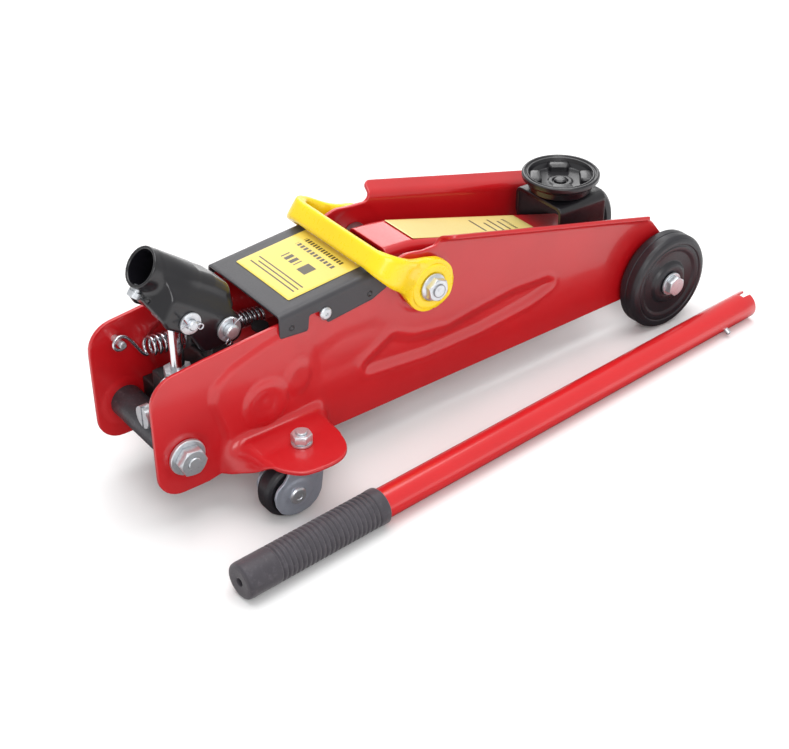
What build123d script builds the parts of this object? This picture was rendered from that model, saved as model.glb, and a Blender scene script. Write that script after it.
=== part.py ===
from build123d import *
import math
import os

# Low-profile hydraulic trolley jack with its loose pump handle lying on its right.
# +X points to the front wheels and saddle, +Y to the jack's left, +Z up, floor at z = 0.
# Millimetres. Geometry has x = 0 at the front axle and y = 0 on the jack's centre plane,
# and is shifted to the centre of the whole footprint when it is written.
# Points are (x, z) unless noted. Paired pieces are drawn on the right (-Y) and mirrored.

# ---- driving dimensions -------------------------------------------------
FOOTPRINT_X, FOOTPRINT_Y = -196.3594, -19.2129
GAP = 0.05                   # clearance round a pin and at a spacer's ends
LABEL_LOW, LABEL_HIGH = 0.03, 0.4   # label faces above the surface below

HALF = 42.5                  # outer face of a side plate from the centre plane
PLATE_T = 3.0
INNER = HALF - PLATE_T       # inner face of a side plate
SPACER_END = INNER - GAP

# pin centres and radii
REAR, REAR_R = (-433.0, 55.9), 5.0            # rear tie bolt
AXLE, AXLE_R, AXLE_BOLT_R = (0.0, 40.0), 6.0, 4.0
LIFT, LIFT_R, LIFT_END_R = (-236.0, 119.5), 7.0, 5.0   # main lift pivot
ARM_END, ARM_END_R = (-68.0, 69.3), 6.0       # saddle bracket pivot
ROD_DX, ROD_DZ, ROD_PIN_R = 10.0, -30.0, 4.0  # radius rod pins from the arm's pivots
ROD_REAR = (LIFT[0] + ROD_DX, LIFT[1] + ROD_DZ)
ROD_FRONT = (ARM_END[0] + ROD_DX, ARM_END[1] + ROD_DZ)
LEVER, LEVER_R = (-264.9, 81.2), 5.0          # lever pin that the ram pushes
DRIVE, DRIVE_R = (-412.0, 142.7), 3.5         # plunger drive pin
PIVOT, PIVOT_R = (-384.0, 127.5), 5.0         # handle socket pivot
CROSS, CROSS_R = (-290.0, 74.0), 3.5          # cross pin of the ram head
PEG, PEG_R = (-436.0, 108.0), 2.5             # spring peg
SCREW, SCREW_R = (-320.7, 125.4), 2.5         # cover screw

WHEEL_R, WHEEL_W, WHEEL_Y = 40.0, 19.0, 43.2
CASTER_X, CASTER_Y = -361.0, 71.0             # swivel axis
CASTER_R, CASTER_W, CASTER_TRAIL = 21.0, 16.0, 13.5
SWIVEL, SWIVEL_R = (CASTER_X, -CASTER_Y), 4.0  # right swivel bolt (x, y)
CASTER_AXLE_R = 3.0
SIDES = ((-1, "right"), (1, "left"))


# ---- helpers ------------------------------------------------------------
def toward(start, end):
    """Unit direction from one 2D point to another."""
    span = math.dist(start[:2], end[:2])
    return (end[0] - start[0]) / span, (end[1] - start[1]) / span


def rounded(points):
    """Closed face through corner points (x, y[, corner radius])."""
    count = len(points)
    corners = []             # (arc start, arc middle or None, arc end)
    for i, point in enumerate(points):
        x, y = point[:2]
        if len(point) < 3:
            corners.append(((x, y), None, (x, y)))
            continue
        radius = point[2]
        back = toward(point, points[i - 1])
        ahead = toward(point, points[(i + 1) % count])
        half = math.acos(back[0] * ahead[0] + back[1] * ahead[1]) / 2
        setback = radius / math.tan(half)
        depth = radius / math.sin(half) - radius
        middle = toward((0, 0), (back[0] + ahead[0], back[1] + ahead[1]))
        corners.append(((x + back[0] * setback, y + back[1] * setback),
                        (x + middle[0] * depth, y + middle[1] * depth),
                        (x + ahead[0] * setback, y + ahead[1] * setback)))
    edges = []
    for i, (start, middle, end) in enumerate(corners):
        if middle is not None:
            edges.append(ThreePointArc(start, middle, end))
        following = corners[(i + 1) % count][0]
        if math.dist(following, end) > 1e-5:
            edges.append(Line(end, following))
    return make_face(edges)


def extrude_y(face, start, end):
    """A flat XY face stood up in the XZ plane, solid between two y values."""
    return Pos(0, end, 0) * extrude(Plane.XZ * face, amount=end - start, dir=(0, -1, 0))


def extrude_z(face, start, end):
    return Pos(0, 0, start) * extrude(face, amount=end - start, dir=(0, 0, 1))


def slab(points, start, end):
    return extrude_y(rounded(points), start, end)


def rod_y(point, radius, start, end):
    centre = Pos(point[0], (start + end) / 2, point[1])
    return centre * Rot(90, 0, 0) * Cylinder(radius, end - start)


def rod_x(axis, radius, start, end):
    """Rod along X on an axis (y, z)."""
    return Pos((start + end) / 2, *axis) * Rot(0, 90, 0) * Cylinder(radius, end - start)


def rod_z(axis, radius, start, end):
    """Rod along Z on an axis (x, y)."""
    return Pos(*axis, (start + end) / 2) * Cylinder(radius, end - start)


def ring_y(point, outer, inner, start, end):
    return rod_y(point, outer, start, end) - rod_y(point, inner, start - 1, end + 1)


def hexagon(flats, turn):
    return RegularPolygon(radius=flats / 2, side_count=6, major_radius=False, rotation=turn)


def hex_y(point, flats, start, end, turn=0):
    """Hexagon head with its corners trimmed round."""
    body = Pos(point[0], 0, point[1]) * extrude_y(hexagon(flats, turn), start, end)
    return body & rod_y(point, flats * 0.565, start, end)


def hex_z(axis, flats, start, end, turn):
    return Pos(*axis, 0) * extrude_z(hexagon(flats, turn), start, end)


def tapered_link(eye_a, radius_a, eye_b, radius_b, start, end):
    """Link outline wrapped round two eyes of different radius."""
    base = math.atan2(eye_b[1] - eye_a[1], eye_b[0] - eye_a[0])
    spread = math.acos((radius_a - radius_b) / math.dist(eye_a, eye_b))

    def rim(eye, radius, angle):
        return eye[0] + radius * math.cos(angle), eye[1] + radius * math.sin(angle)

    upper_a, lower_a = (rim(eye_a, radius_a, base + turn) for turn in (spread, -spread))
    upper_b, lower_b = (rim(eye_b, radius_b, base + turn) for turn in (spread, -spread))
    face = make_face([
        Line(upper_a, upper_b),
        ThreePointArc(upper_b, rim(eye_b, radius_b, base), lower_b),
        Line(lower_b, lower_a),
        ThreePointArc(lower_a, rim(eye_a, -radius_a, base), upper_a),
    ])
    return extrude_y(face, start, end)


def headed_pin(point, radius, head_radius, reach):
    """Pin across the centre plane with a head at each end."""
    low, high = reach - 1.9, reach + 0.2
    return (rod_y(point, radius, -reach, reach) + rod_y(point, head_radius, low, high)
            + rod_y(point, head_radius, -high, -low))


def turned_y(profile):
    """Solid of revolution about Y from (radius, y) points."""
    face = make_face(Polyline(*[(radius, y, 0) for radius, y in profile], close=True))
    return revolve(face, Axis.Y, 360)


def flip(shape):
    """Mirror image across the centre plane."""
    return mirror(shape, about=Plane.XZ)


def both(shape):
    return [shape, flip(shape)]


os.makedirs("parts", exist_ok=True)


def write(name, *items):
    """Shift the items' solids to the footprint centre and write them as one file."""
    solids = [Pos(-FOOTPRINT_X, -FOOTPRINT_Y, 0) * solid
              for item in items for solid in item.solids()]
    shape = solids[0] if len(solids) == 1 else Compound(children=solids)
    export_step(shape, os.path.join("parts", name + ".step"))


# ---- side plates --------------------------------------------------------
EAR_LOW, EAR_HIGH = 48.0, 51.0
BEND_R = 9.0                 # root radius between plate and ear
LIP_START, LIP_END = (-219.0, 141.2), (-12.0, 89.3)
# x, z, corner radius
PLATE_OUTLINE = [
    (-455.5, 119.5, 20), (-413.5, 124.0, 30), (-355.0, 128.3, 60), (-272.0, 139.8, 30),
    (-251.0, 145.2, 14), (-221.0, 141.8, 24), (-8.8, 88.6, 7), (14.0, 64.0, 16),
    (15.0, 27.5, 14), (-395.0, 27.5, 20), (-432.0, 27.0, 8), (-455.5, 46.0, 16),
]
# y, height square to the top edge
LIP_SECTION = [
    (-INNER, -4.0), (-INNER, 0.0), (-INNER - 7.8, 7.8),
    (-INNER - 9.9, 5.7), (-HALF, -1.25), (-HALF, -4.0),
]
# x, y, corner radius
EAR_OUTLINE = [
    (-412.0, -HALF + 0.5), (-397.0, -74.0, 20), (-383.0, -88.0, 20), (-379.0, -99.5, 8),
    (-366.0, -101.0, 12), (-345.0, -99.0, 10), (-334.0, -85.0, 14), (-332.0, -62.0, 14),
    (-322.0, -HALF + 0.5),
]

plate = slab(PLATE_OUTLINE, -HALF, -INNER)
# lip along the falling top edge, flared outwards at 45 degrees
fall_x, fall_z = toward(LIP_START, LIP_END)
lip_dir = (fall_x, 0, fall_z)
lip_plane = Plane(origin=(LIP_START[0], 0, LIP_START[1]), x_dir=(0, 1, 0), z_dir=lip_dir)
plate = plate + extrude(lip_plane * rounded(LIP_SECTION),
                        amount=math.dist(LIP_START, LIP_END), dir=lip_dir)
# ear for the caster, bent outwards, with its root radius
ear = extrude_z(rounded(EAR_OUTLINE), EAR_LOW, EAR_HIGH)
bend_y, bend_z = -HALF - BEND_R, EAR_HIGH + BEND_R
root = slab([(-398.0, EAR_HIGH - 1), (-398.0, bend_z), (-330.0, bend_z),
             (-330.0, EAR_HIGH - 1)], bend_y, -HALF + 0.5)
root = root - rod_x((bend_y, bend_z), BEND_R, -410, -320)
notch = Pos(-359.0, -41.0, 32.0) * Box(58.0, 8.0, 31.0)
plate = plate - notch + ear + root
for point, radius in ((REAR, REAR_R), (AXLE, AXLE_R), (LIFT, LIFT_R),
                      (ROD_REAR, ROD_PIN_R), (SCREW, SCREW_R), (PEG, PEG_R)):
    plate = plate - rod_y(point, radius + GAP, -HALF - 4, -INNER + 4)
plate = plate - rod_z(SWIVEL, SWIVEL_R + GAP, 40, 60)
write("side_plate_right", plate)
write("side_plate_left", flip(plate))

# ---- rear tie -----------------------------------------------------------
TIE_FLATS = 17.0
write("rear_spacer_tube", ring_y(REAR, 12.0, 5.2, -SPACER_END, SPACER_END))
write("rear_tie_bolt",
      rod_y(REAR, REAR_R, -53.5, 45.2) + hex_y(REAR, TIE_FLATS, 45.2, 51.6))
write("rear_tie_nut_and_washers",
      *both(ring_y(REAR, 12.5, 5.1, -HALF - 2.4, -HALF - GAP)),
      hex_y(REAR, TIE_FLATS, -52.2, -44.95, 12) - rod_y(REAR, REAR_R + GAP, -60, -40))

# ---- front axle and wheels ----------------------------------------------
axle = rod_y(AXLE, AXLE_R, -62.6, 62.6)
for bolt_hole in both(rod_y(AXLE, AXLE_BOLT_R + GAP, 48.0, 63.0)):
    axle = axle - bolt_hole
write("front_axle", axle)
write("front_axle_spacer", ring_y(AXLE, 9.0, 6.1, -SPACER_END, SPACER_END))
bolt = rod_y(AXLE, AXLE_BOLT_R, -64.6, -50.0) + hex_y(AXLE, 13.0, -69.6, -64.55, 8)
write("front_axle_bolts", *both(bolt), *both(ring_y(AXLE, 9.5, 4.1, -64.5, -62.75)))

# flat tread, rounded shoulders, dished face and hub ring: radius, y
rim_in, rim_out = WHEEL_Y, WHEEL_Y + WHEEL_W
WHEEL_PROFILE = [
    (6.06, rim_in), (16.0, rim_in), (16.0, rim_in + 2.0), (30.0, rim_in + 2.0),
    (32.0, rim_in + 0.3), (36.5, rim_in + 0.3), (WHEEL_R, rim_in + 3.5),
    (WHEEL_R, rim_out - 4.0), (38.6, rim_out - 1.2), (35.5, rim_out), (31.0, rim_out - 0.4),
    (27.0, rim_out - 2.2), (16.5, rim_out - 2.6), (14.0, rim_out + 0.2),
    (12.0, rim_out + 0.3), (6.06, rim_out + 0.3),
]
wheel = Pos(AXLE[0], 0, AXLE[1]) * turned_y(WHEEL_PROFILE)
write("front_wheel_left", wheel)
write("front_wheel_right", flip(wheel))

# ---- main pivot and carry handle ----------------------------------------
write("main_pivot_axle",
      rod_y(LIFT, LIFT_R, -54.0, 54.0) + rod_y(LIFT, LIFT_END_R, -62.0, 62.0))
nut = rod_y(LIFT, 10.0, -56.4, -54.3) + hex_y(LIFT, 15.0, -61.2, -56.4, 15)
nut = nut - rod_y(LIFT, LIFT_END_R + GAP, -70, -50)
write("main_pivot_nuts", *both(nut))
write("main_pivot_spacers", *both(ring_y(LIFT, 10.0, 7.1, -SPACER_END, -22.6)))

YOKE_BAR = (-279.0, 152.0)
YOKE_HALF, YOKE_INNER = 53.5, 45.0
YOKE_OPENING = [(-300.0, 90.0), (-300.0, 148.5), (-288.5, 160.5), (-180.0, 243.0),
                (-180.0, 90.0)]
YOKE_GRIP = [(-289.0, 149.5, 2.0), (-275.5, 160.0, 3.5), (-269.0, 153.0, 3.5),
             (-281.0, 146.8, 2.5)]
yoke = tapered_link(LIFT, 19.5, YOKE_BAR, 9.0, -YOKE_HALF, YOKE_HALF)
yoke = yoke - slab(YOKE_OPENING, -YOKE_INNER, YOKE_INNER)
yoke = yoke + slab(YOKE_GRIP, -YOKE_HALF, YOKE_HALF)
yoke = yoke - rod_y(LIFT, LIFT_R + GAP, -60, 60)
write("carry_handle", yoke)

# ---- cover plate --------------------------------------------------------
COVER_REAR, COVER_FRONT = (-357.0, 135.5), (-267.0, 143.3)   # ends of the sloping top
COVER_T, COVER_HALF = 2.0, 44.6
OVERRUN, OVERRUN_RISE = 5, 0.43   # hollow beyond each end, and the top's rise over it
# x, z, corner radius
COVER_OUTLINE = [
    COVER_REAR, COVER_FRONT, (-267.0, 127.5, 1.5), (-281.0, 121.4, 3.0),
    (-319.0, 117.0, 1.5), (-320.5, 123.0, 1.0), (-324.5, 128.5, 1.5), (-333.5, 128.5, 1.5),
    (-334.5, 116.5, 1.5), (-357.0, 118.5, 1.5),
]
hollow_rear, hollow_front = COVER_REAR[0] - OVERRUN, COVER_FRONT[0] + OVERRUN
cover_hollow = [
    (hollow_rear, 60.0), (hollow_rear, COVER_REAR[1] - COVER_T - OVERRUN_RISE),
    (hollow_front, COVER_FRONT[1] - COVER_T + OVERRUN_RISE), (hollow_front, 60.0),
]
cover = slab(COVER_OUTLINE, -COVER_HALF, COVER_HALF)
cover = cover - slab(cover_hollow, -HALF - 0.1, HALF + 0.1)
for screw_hole in both(rod_y(SCREW, 2.6, 40, 50)):
    cover = cover - screw_hole
write("cover_plate", cover)


def above_cover(x, height):
    """Point at a height above the cover's sloping top."""
    slope = (COVER_FRONT[1] - COVER_REAR[1]) / (COVER_FRONT[0] - COVER_REAR[0])
    return x, COVER_REAR[1] + slope * (x - COVER_REAR[0]) + height


write("cover_label", slab([
    above_cover(-350.0, LABEL_LOW), above_cover(-350.0, LABEL_HIGH),
    above_cover(-291.0, LABEL_HIGH), above_cover(-291.0, LABEL_LOW)], -37.0, 37.0))
screw = rod_y(SCREW, SCREW_R, -46.0, -38.5) + rod_y(SCREW, 4.6, -46.9, -44.7)
write("cover_screws", *both(screw))

# ---- power unit ---------------------------------------------------------
RAM = (0.0, 77.5)            # ram axis (y, z)
RAM_R, PISTON_R = 9.0, 12.0
TANK_REAR, TANK_FRONT = -387.9, -308.1
PLUNGER, PLUNGER_R = (-411.0, 0), 5.0        # plunger axis (x, y)
VALVE, VALVE_R = (-10.5, 75.0), 4.5          # release valve axis (y, z)
FILLER = (-345.0, 0)                         # filler axis (x, y)

block = Pos(-405.5, 0, 60.5) * Box(27.0, 2 * (INNER - 0.1), 19.0)   # base between plates
block = block + Pos(-405.5, 0, 70.0) * Box(29.0, 44.0, 30.0)
block = block + rod_x(RAM, 25.0, -396.0, -388.0)
for lug in both(tapered_link((-386.0, 92.0), 9.0, PIVOT, 8.0, -17.5, -10.5)):
    block = block + lug
block = block - rod_y(PIVOT, PIVOT_R + GAP, -30, 30)
block = block - rod_z(PLUNGER, PLUNGER_R + GAP, 57.0, 130.0)
block = block - rod_x(VALVE, VALVE_R + GAP, -430.0, -406.0)
block = block - rod_y(REAR, 12.3, -50, 50)
block = block - rod_x(RAM, 23.3, -387.95, -370.0)
write("pump_block", block)
write("pump_gland_nut", hex_z(PLUNGER, 18.0, 85.1, 94.6, 10)
      - rod_z(PLUNGER, PLUNGER_R + GAP, 80, 100))
write("reservoir_tank", rod_x(RAM, 23.0, TANK_REAR, TANK_FRONT)
      - rod_x(RAM, 20.5, -389.0, -307.0) - rod_z(FILLER, 4.0, 90.0, 110.0))
write("ram_cylinder", rod_x(RAM, 15.5, TANK_REAR, TANK_FRONT)
      - rod_x(RAM, PISTON_R + GAP, -389.0, -307.0))
write("tank_end_cap",
      rod_x(RAM, 23.5, -308.0, -300.0) - rod_x(RAM, RAM_R + GAP, -310.0, -298.0))
write("filler_plug", rod_z(FILLER, 3.9, 96.0, 101.0) + rod_z(FILLER, 6.0, 100.9, 103.4))

# ---- ram ----------------------------------------------------------------
HEAD_OUTLINE = [
    (-297.0, 64.0, 3.0), (-297.0, 93.0, 4.0), (-282.0, 93.0, 4.0), (-275.0, 88.0, 2.0),
    (-275.0, 66.0, 2.0), (-279.0, 64.0, 1.5),
]
write("ram_piston",
      rod_x(RAM, PISTON_R, -386.5, -377.0) + rod_x(RAM, RAM_R, -377.0, -297.05))
write("ram_head", slab(HEAD_OUTLINE, -12.0, 12.0) - rod_y(CROSS, CROSS_R + GAP, -20, 20))
write("ram_cross_pin", rod_y(CROSS, CROSS_R, -35.0, 35.0))

# ---- pump plunger -------------------------------------------------------
PLUNGER_HEAD = [(-422.2, 135.7, 2), (-422.2, 148.4, 5), (-405.8, 148.4, 5),
                (-405.8, 135.7, 2)]
write("pump_plunger", rod_z(PLUNGER, PLUNGER_R, 79.0, 135.6))
pin_slot = Pos(-413.95, DRIVE[1]) * SlotCenterToCenter(3.9, 7.8)
write("plunger_head", slab(PLUNGER_HEAD, -9.0, 9.0) - extrude_y(pin_slot, -20, 20))

# ---- release valve ------------------------------------------------------
VALVE_END = -446.5
valve = rod_x(VALVE, VALVE_R, -440.0, -408.0) + rod_x(VALVE, 8.0, VALVE_END, -440.0)
valve = valve - Pos(VALVE_END, *VALVE) * Box(5.0, 2.2, 20.0)
write("release_valve", valve)

# ---- handle socket ------------------------------------------------------
SOCKET_TILT = 38.0           # bore above the horizontal, rising to the rear
SOCKET_MOUTH = (-430.9, 180.1)
SOCKET_R, SOCKET_BORE, SOCKET_DEPTH = 14.3, 11.8, 27.0
LOCK_R, LOCK_AT = 3.0, 6.5   # lock screw and its distance down the bore


def along(distance, up=0.0):
    """Point down the bore from the mouth, raised square to it by up."""
    tilt_cos = math.cos(math.radians(SOCKET_TILT))
    tilt_sin = math.sin(math.radians(SOCKET_TILT))
    return (SOCKET_MOUTH[0] + distance * tilt_cos + up * tilt_sin,
            SOCKET_MOUTH[1] - distance * tilt_sin + up * tilt_cos)


def bore_rod(radius, start, end):
    x, z = along((start + end) / 2)
    return Pos(x, 0, z) * Rot(0, 90 + SOCKET_TILT, 0) * Cylinder(radius, end - start)


def lock_rod(up, radius, length):
    """Rod square to the bore, centred on the lock screw's axis."""
    x, z = along(LOCK_AT, up)
    return Pos(x, 0, z) * Rot(0, SOCKET_TILT, 0) * Cylinder(radius, length)


web_outline = [
    along(16, 13.0) + (4,), along(52, 14.3) + (6,), (-371.5, 150.0, 9), (-372.0, 114.0, 9),
    (-404.0, 115.0, 6), (-411.0, 132.0, 3), (-428.0, 143.0, 4), along(14, -13.0) + (3,),
]
THROAT = [
    (-450.0, 100.0), (-450.0, 151.0), (-426.0, 152.0), (-418.0, 154.5, 3),
    (-404.0, 154.5, 3), (-392.0, 147.0, 3), (-360.0, 139.0), (-360.0, 100.0),
]
socket = bore_rod(SOCKET_R, 0.0, 34.0) + slab(web_outline, -24.0, 24.0)
socket = socket - slab(THROAT, -18.2, 18.2)
socket = socket - bore_rod(SOCKET_BORE, -2.0, SOCKET_DEPTH)
socket = socket - rod_y(DRIVE, DRIVE_R + GAP, -40, 40) - rod_y(PIVOT, PIVOT_R + GAP, -40, 40)
socket = socket - lock_rod(-13.5, LOCK_R + GAP, 12.0)
write("handle_socket", socket)
write("socket_lock_screw", lock_rod(-16.0, LOCK_R, 8.0) + lock_rod(-18.0, 4.6, 4.0))
write("plunger_drive_pin", rod_y(DRIVE, DRIVE_R, -30.0, 30.0))
write("socket_pivot_pin", rod_y(PIVOT, PIVOT_R, -31.0, 31.0))


def pin_fasteners(pin, radius, washer_radius, cotter_y, turn, length):
    """Washer and cotter at each end of a pin."""
    cotter = Pos(pin[0], cotter_y, pin[1]) * Rot(0, turn, 0) * Box(1.8, 1.8, length)
    cotter = cotter - rod_y(pin, radius + 0.02, -32, -25)
    return both(ring_y(pin, washer_radius, radius + 0.1, -26.0, -24.1)) + both(cotter)


write("drive_pin_fasteners", *pin_fasteners(DRIVE, DRIVE_R, 7.5, -28.0, 25, 16.0))
write("pivot_pin_fasteners", *pin_fasteners(PIVOT, PIVOT_R, 8.5, -28.6, 12, 18.0))

# ---- lift arm -----------------------------------------------------------
ARM_HALF, ARM_T, ARM_TOP = 22.0, 3.0, 20.3   # ARM_TOP is above the pivot line
ARM_L = math.dist(LIFT, ARM_END)
ARM_TAIL_Z = 139.6
arm_x, arm_z = toward(LIFT, ARM_END)


def arm_pt(distance, height):
    """Point along the arm from the main pivot, at a height above its pivot line."""
    return (LIFT[0] + distance * arm_x - height * arm_z,
            LIFT[1] + distance * arm_z + height * arm_x)


# x, z, corner radius
arm_outline = [
    (-252.5, ARM_TAIL_Z, 2.5), arm_pt(3.0, ARM_TOP) + (6.0,),
    arm_pt(ARM_L + 9.0, ARM_TOP) + (9.0,), arm_pt(ARM_L + 12.5, 0.0) + (8.0,),
    arm_pt(ARM_L + 4.0, -12.0) + (8.0,), arm_pt(46.0, -15.0) + (20.0,),
    (-230.0, 90.0, 14.0), (-252.5, 69.5, 9.0), (-268.0, 69.5, 9.5), (-277.0, 82.0, 9.5),
    (-253.5, 108.0, 12.0),
]
arm_hollow = [
    (-262.0, ARM_TAIL_Z - ARM_T), arm_pt(3.0, ARM_TOP - ARM_T),
    arm_pt(ARM_L + 30.0, ARM_TOP - ARM_T), arm_pt(ARM_L + 30.0, -60.0),
    (-300.0, 20.0), (-300.0, 100.0),
]
arm = slab(arm_outline, -ARM_HALF, ARM_HALF)
arm = arm - slab(arm_hollow, -(ARM_HALF - ARM_T), ARM_HALF - ARM_T)
for point, radius in ((LIFT, LIFT_R), (ARM_END, ARM_END_R), (LEVER, LEVER_R)):
    arm = arm - rod_y(point, radius + GAP, -30, 30)
write("lift_arm", arm)
write("arm_pivot_tube", ring_y(LIFT, 10.5, LIFT_R + GAP, -18.9, 18.9))
write("arm_label", slab([
    arm_pt(4.0, ARM_TOP + LABEL_LOW), arm_pt(4.0, ARM_TOP + LABEL_HIGH),
    arm_pt(136.0, ARM_TOP + LABEL_HIGH), arm_pt(136.0, ARM_TOP + LABEL_LOW)], -17.0, 17.0))
write("lever_pin", headed_pin(LEVER, LEVER_R, 7.5, 24.0))
write("ram_roller", ring_y(LEVER, 9.0, LEVER_R + GAP, -14.0, 14.0))

# ---- saddle bracket and radius rods -------------------------------------
SADDLE_X, STEM_R = ARM_END[0], 9.0
BRACKET_OUTLINE = [
    (-90.0, 119.8, 3.0), (-44.0, 119.8, 3.0), (-43.0, 62.0, 10.0), (-50.0, 30.5, 8.0),
    (-66.0, 30.5, 8.0), (-80.0, 62.0, 12.0), (-90.0, 100.0, 6.0),
]
BRACKET_HOLLOW = [(-120.0, 0.0), (-120.0, 116.6), (-20.0, 116.6), (-20.0, 0.0)]
bracket = slab(BRACKET_OUTLINE, -26.0, 26.0) - slab(BRACKET_HOLLOW, -22.6, 22.6)
bracket = bracket - rod_y(ARM_END, ARM_END_R + GAP, -40, 40)
bracket = bracket - rod_y(ROD_FRONT, ROD_PIN_R + GAP, -40, 40)
bracket = bracket - rod_z((SADDLE_X, 0), STEM_R + GAP, 110, 130)
write("saddle_bracket", bracket)
write("bracket_pivot_pin", headed_pin(ARM_END, ARM_END_R, 9.0, 28.0))
front_pin = rod_y(ROD_FRONT, ROD_PIN_R, -33.5, -23.0) + rod_y(ROD_FRONT, 6.5, -33.6, -31.8)
write("rod_front_pins", *both(front_pin))
radius_rod = tapered_link(ROD_REAR, 9.0, ROD_FRONT, 8.0, -31.3, -27.2)
radius_rod = radius_rod - rod_y(ROD_REAR, ROD_PIN_R + GAP, -40, -20)
radius_rod = radius_rod - rod_y(ROD_FRONT, 4.4, -40, -20)
write("radius_rods", *both(radius_rod))
rear_pin = (rod_y(ROD_REAR, ROD_PIN_R, -HALF + 0.1, -25.6)
            + rod_y(ROD_REAR, 6.5, -26.9, -25.5))
write("rod_rear_pins", *both(rear_pin))

# ---- saddle -------------------------------------------------------------
SADDLE_R, SADDLE_TOP = 30.0, 135.0
# radius, z
SADDLE_PROFILE = [
    (0.0, 120.0), (20.0, 120.0), (25.5, 122.6), (28.5, 129.0), (SADDLE_R, 131.5),
    (SADDLE_R, 133.5), (SADDLE_R - 1.2, SADDLE_TOP), (SADDLE_R - 3.4, SADDLE_TOP),
    (SADDLE_R - 4.6, 132.5), (22.0, 127.8), (9.0, 127.0), (9.0, 129.4), (5.2, 129.4),
    (5.2, 126.0), (0.0, 126.0),
]
cup = make_face(Polyline(*[(radius, 0, z) for radius, z in SADDLE_PROFILE], close=True))
saddle = revolve(cup, Axis.Z, 360) + rod_z((0, 0), STEM_R, 106.0, 120.5)
for k in range(4):
    saddle = saddle + Rot(0, 0, 45 + 90 * k) * Pos(20.0, 0, 129.6) * Box(9.0, 8.0, 4.6)
saddle = saddle - rod_z((0, 0), 3.05, 108.0, 130.0)
write("saddle", Pos(SADDLE_X, 0, 0.1) * saddle)
stem = (SADDLE_X, 0)
write("saddle_screw_and_ring",
      rod_z(stem, 3.0, 112.0, 127.0) + rod_z(stem, 4.9, 126.2, 129.0),
      rod_z(stem, 12.0, 112.5, 114.5) - rod_z(stem, 9.03, 110, 116))

# ---- return springs -----------------------------------------------------
SPRING_Y, WIRE_R = 31.0, 1.4
COIL_REAR, COIL_FRONT = (-412.0, 97.0), (-325.0, 88.0)
write("spring_pegs", *both(rod_y(PEG, PEG_R, -HALF + 0.1, -26.5)))


def spring(y):
    """Coil as a tube with plugged ends, hooked to the peg and the cross pin."""
    def bar(start, end, radius):
        turn = math.degrees(math.atan2(end[0] - start[0], end[1] - start[1]))
        centre = Pos((start[0] + end[0]) / 2, y, (start[1] + end[1]) / 2)
        return centre * Rot(0, turn, 0) * Cylinder(radius, math.dist(start, end))

    def eye(point, radius):
        return Pos(point[0], y, point[1]) * Rot(90, 0, 0) * Torus(radius, WIRE_R)

    (rear_x, rear_z), (front_x, front_z) = COIL_REAR, COIL_FRONT
    coil = bar(COIL_REAR, COIL_FRONT, 7.2)
    coil = coil - bar((rear_x - 6, rear_z + 0.6), (front_x + 6, front_z - 0.6), 5.0)
    coil = (coil + bar((rear_x - 1, rear_z), (rear_x + 2, rear_z - 0.3), 6.0)
            + bar((front_x - 2, front_z + 0.2), (front_x + 1, front_z), 6.0))
    return (coil + eye(PEG, 6.5) + eye(CROSS, 6.0)
            + bar((PEG[0] + 5.0, PEG[1] - 3.6), COIL_REAR, WIRE_R)
            + bar((CROSS[0] - 6.0, CROSS[1] + 0.6), COIL_FRONT, WIRE_R))


for side, tag in SIDES:
    write("return_spring_" + tag, spring(side * SPRING_Y))

# ---- casters ------------------------------------------------------------
write("caster_swivel_bolts",
      *both(rod_z(SWIVEL, SWIVEL_R, 42.0, 61.0) + rod_z(SWIVEL, 6.0, 41.9, 44.1)))
write("caster_washers",
      *both(rod_z(SWIVEL, 13.0, 46.9, 47.95) - rod_z(SWIVEL, 4.1, 40, 50)),
      *both(rod_z(SWIVEL, 7.5, 51.05, 53.0) - rod_z(SWIVEL, 4.1, 50, 55)))
write("caster_nuts", *both(hex_z(SWIVEL, 13.0, 53.1, 59.4, 20)
                           - rod_z(SWIVEL, SWIVEL_R + GAP, 50, 65)))

# x from the swivel axis, z, corner radius
CHEEK_OUTLINE = [
    (-20.0, 46.8, 1), (9.0, 46.8, 6), (4.0, 34.0, 10), (-7.0, 15.0, 6), (-14.0, 12.5, 6),
    (-22.0, 15.5, 7), (-23.0, 33.0, 10),
]
half_w = CASTER_W / 2
# radius, y
CASTER_PROFILE = [
    (3.06, -half_w), (8.0, -half_w), (9.0, -half_w + 1.2), (16.0, -half_w + 1.2),
    (18.0, -half_w + 0.3), (20.2, -half_w + 2.0), (CASTER_R, -half_w + 4.5),
    (CASTER_R, half_w - 4.5), (20.2, half_w - 2.0), (18.0, half_w - 0.3),
    (16.0, half_w - 1.2), (9.0, half_w - 1.2), (8.0, half_w), (3.06, half_w),
]


def caster_fork():
    """Fork with its swivel axis on x = y = 0."""
    fork = rod_z((0, 0), 13.0, 44.3, 46.8) + Pos(-7.0, 0, 45.55) * Box(14.0, 24.0, 2.5)
    for cheek in both(slab(CHEEK_OUTLINE, 9.6, 12.0)):
        fork = fork + cheek
    fork = fork - rod_z((0, 0), SWIVEL_R + GAP, 40, 50)
    return fork - rod_y((-CASTER_TRAIL, CASTER_R), CASTER_AXLE_R + GAP, -20, 20)


def caster_axle(y):
    centre = (CASTER_X - CASTER_TRAIL, CASTER_R)
    return (rod_y(centre, CASTER_AXLE_R, y - 12.6, y + 12.6)
            + rod_y(centre, 5.2, y + 12.05, y + 14.0)
            + rod_y(centre, 5.2, y - 14.0, y - 12.05))


for side, tag in SIDES:
    y = side * CASTER_Y
    write("caster_fork_" + tag, Pos(CASTER_X, y, 0) * caster_fork(), caster_axle(y))
    write("caster_wheel_" + tag,
          Pos(CASTER_X - CASTER_TRAIL, y, CASTER_R) * turned_y(CASTER_PROFILE))

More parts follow.
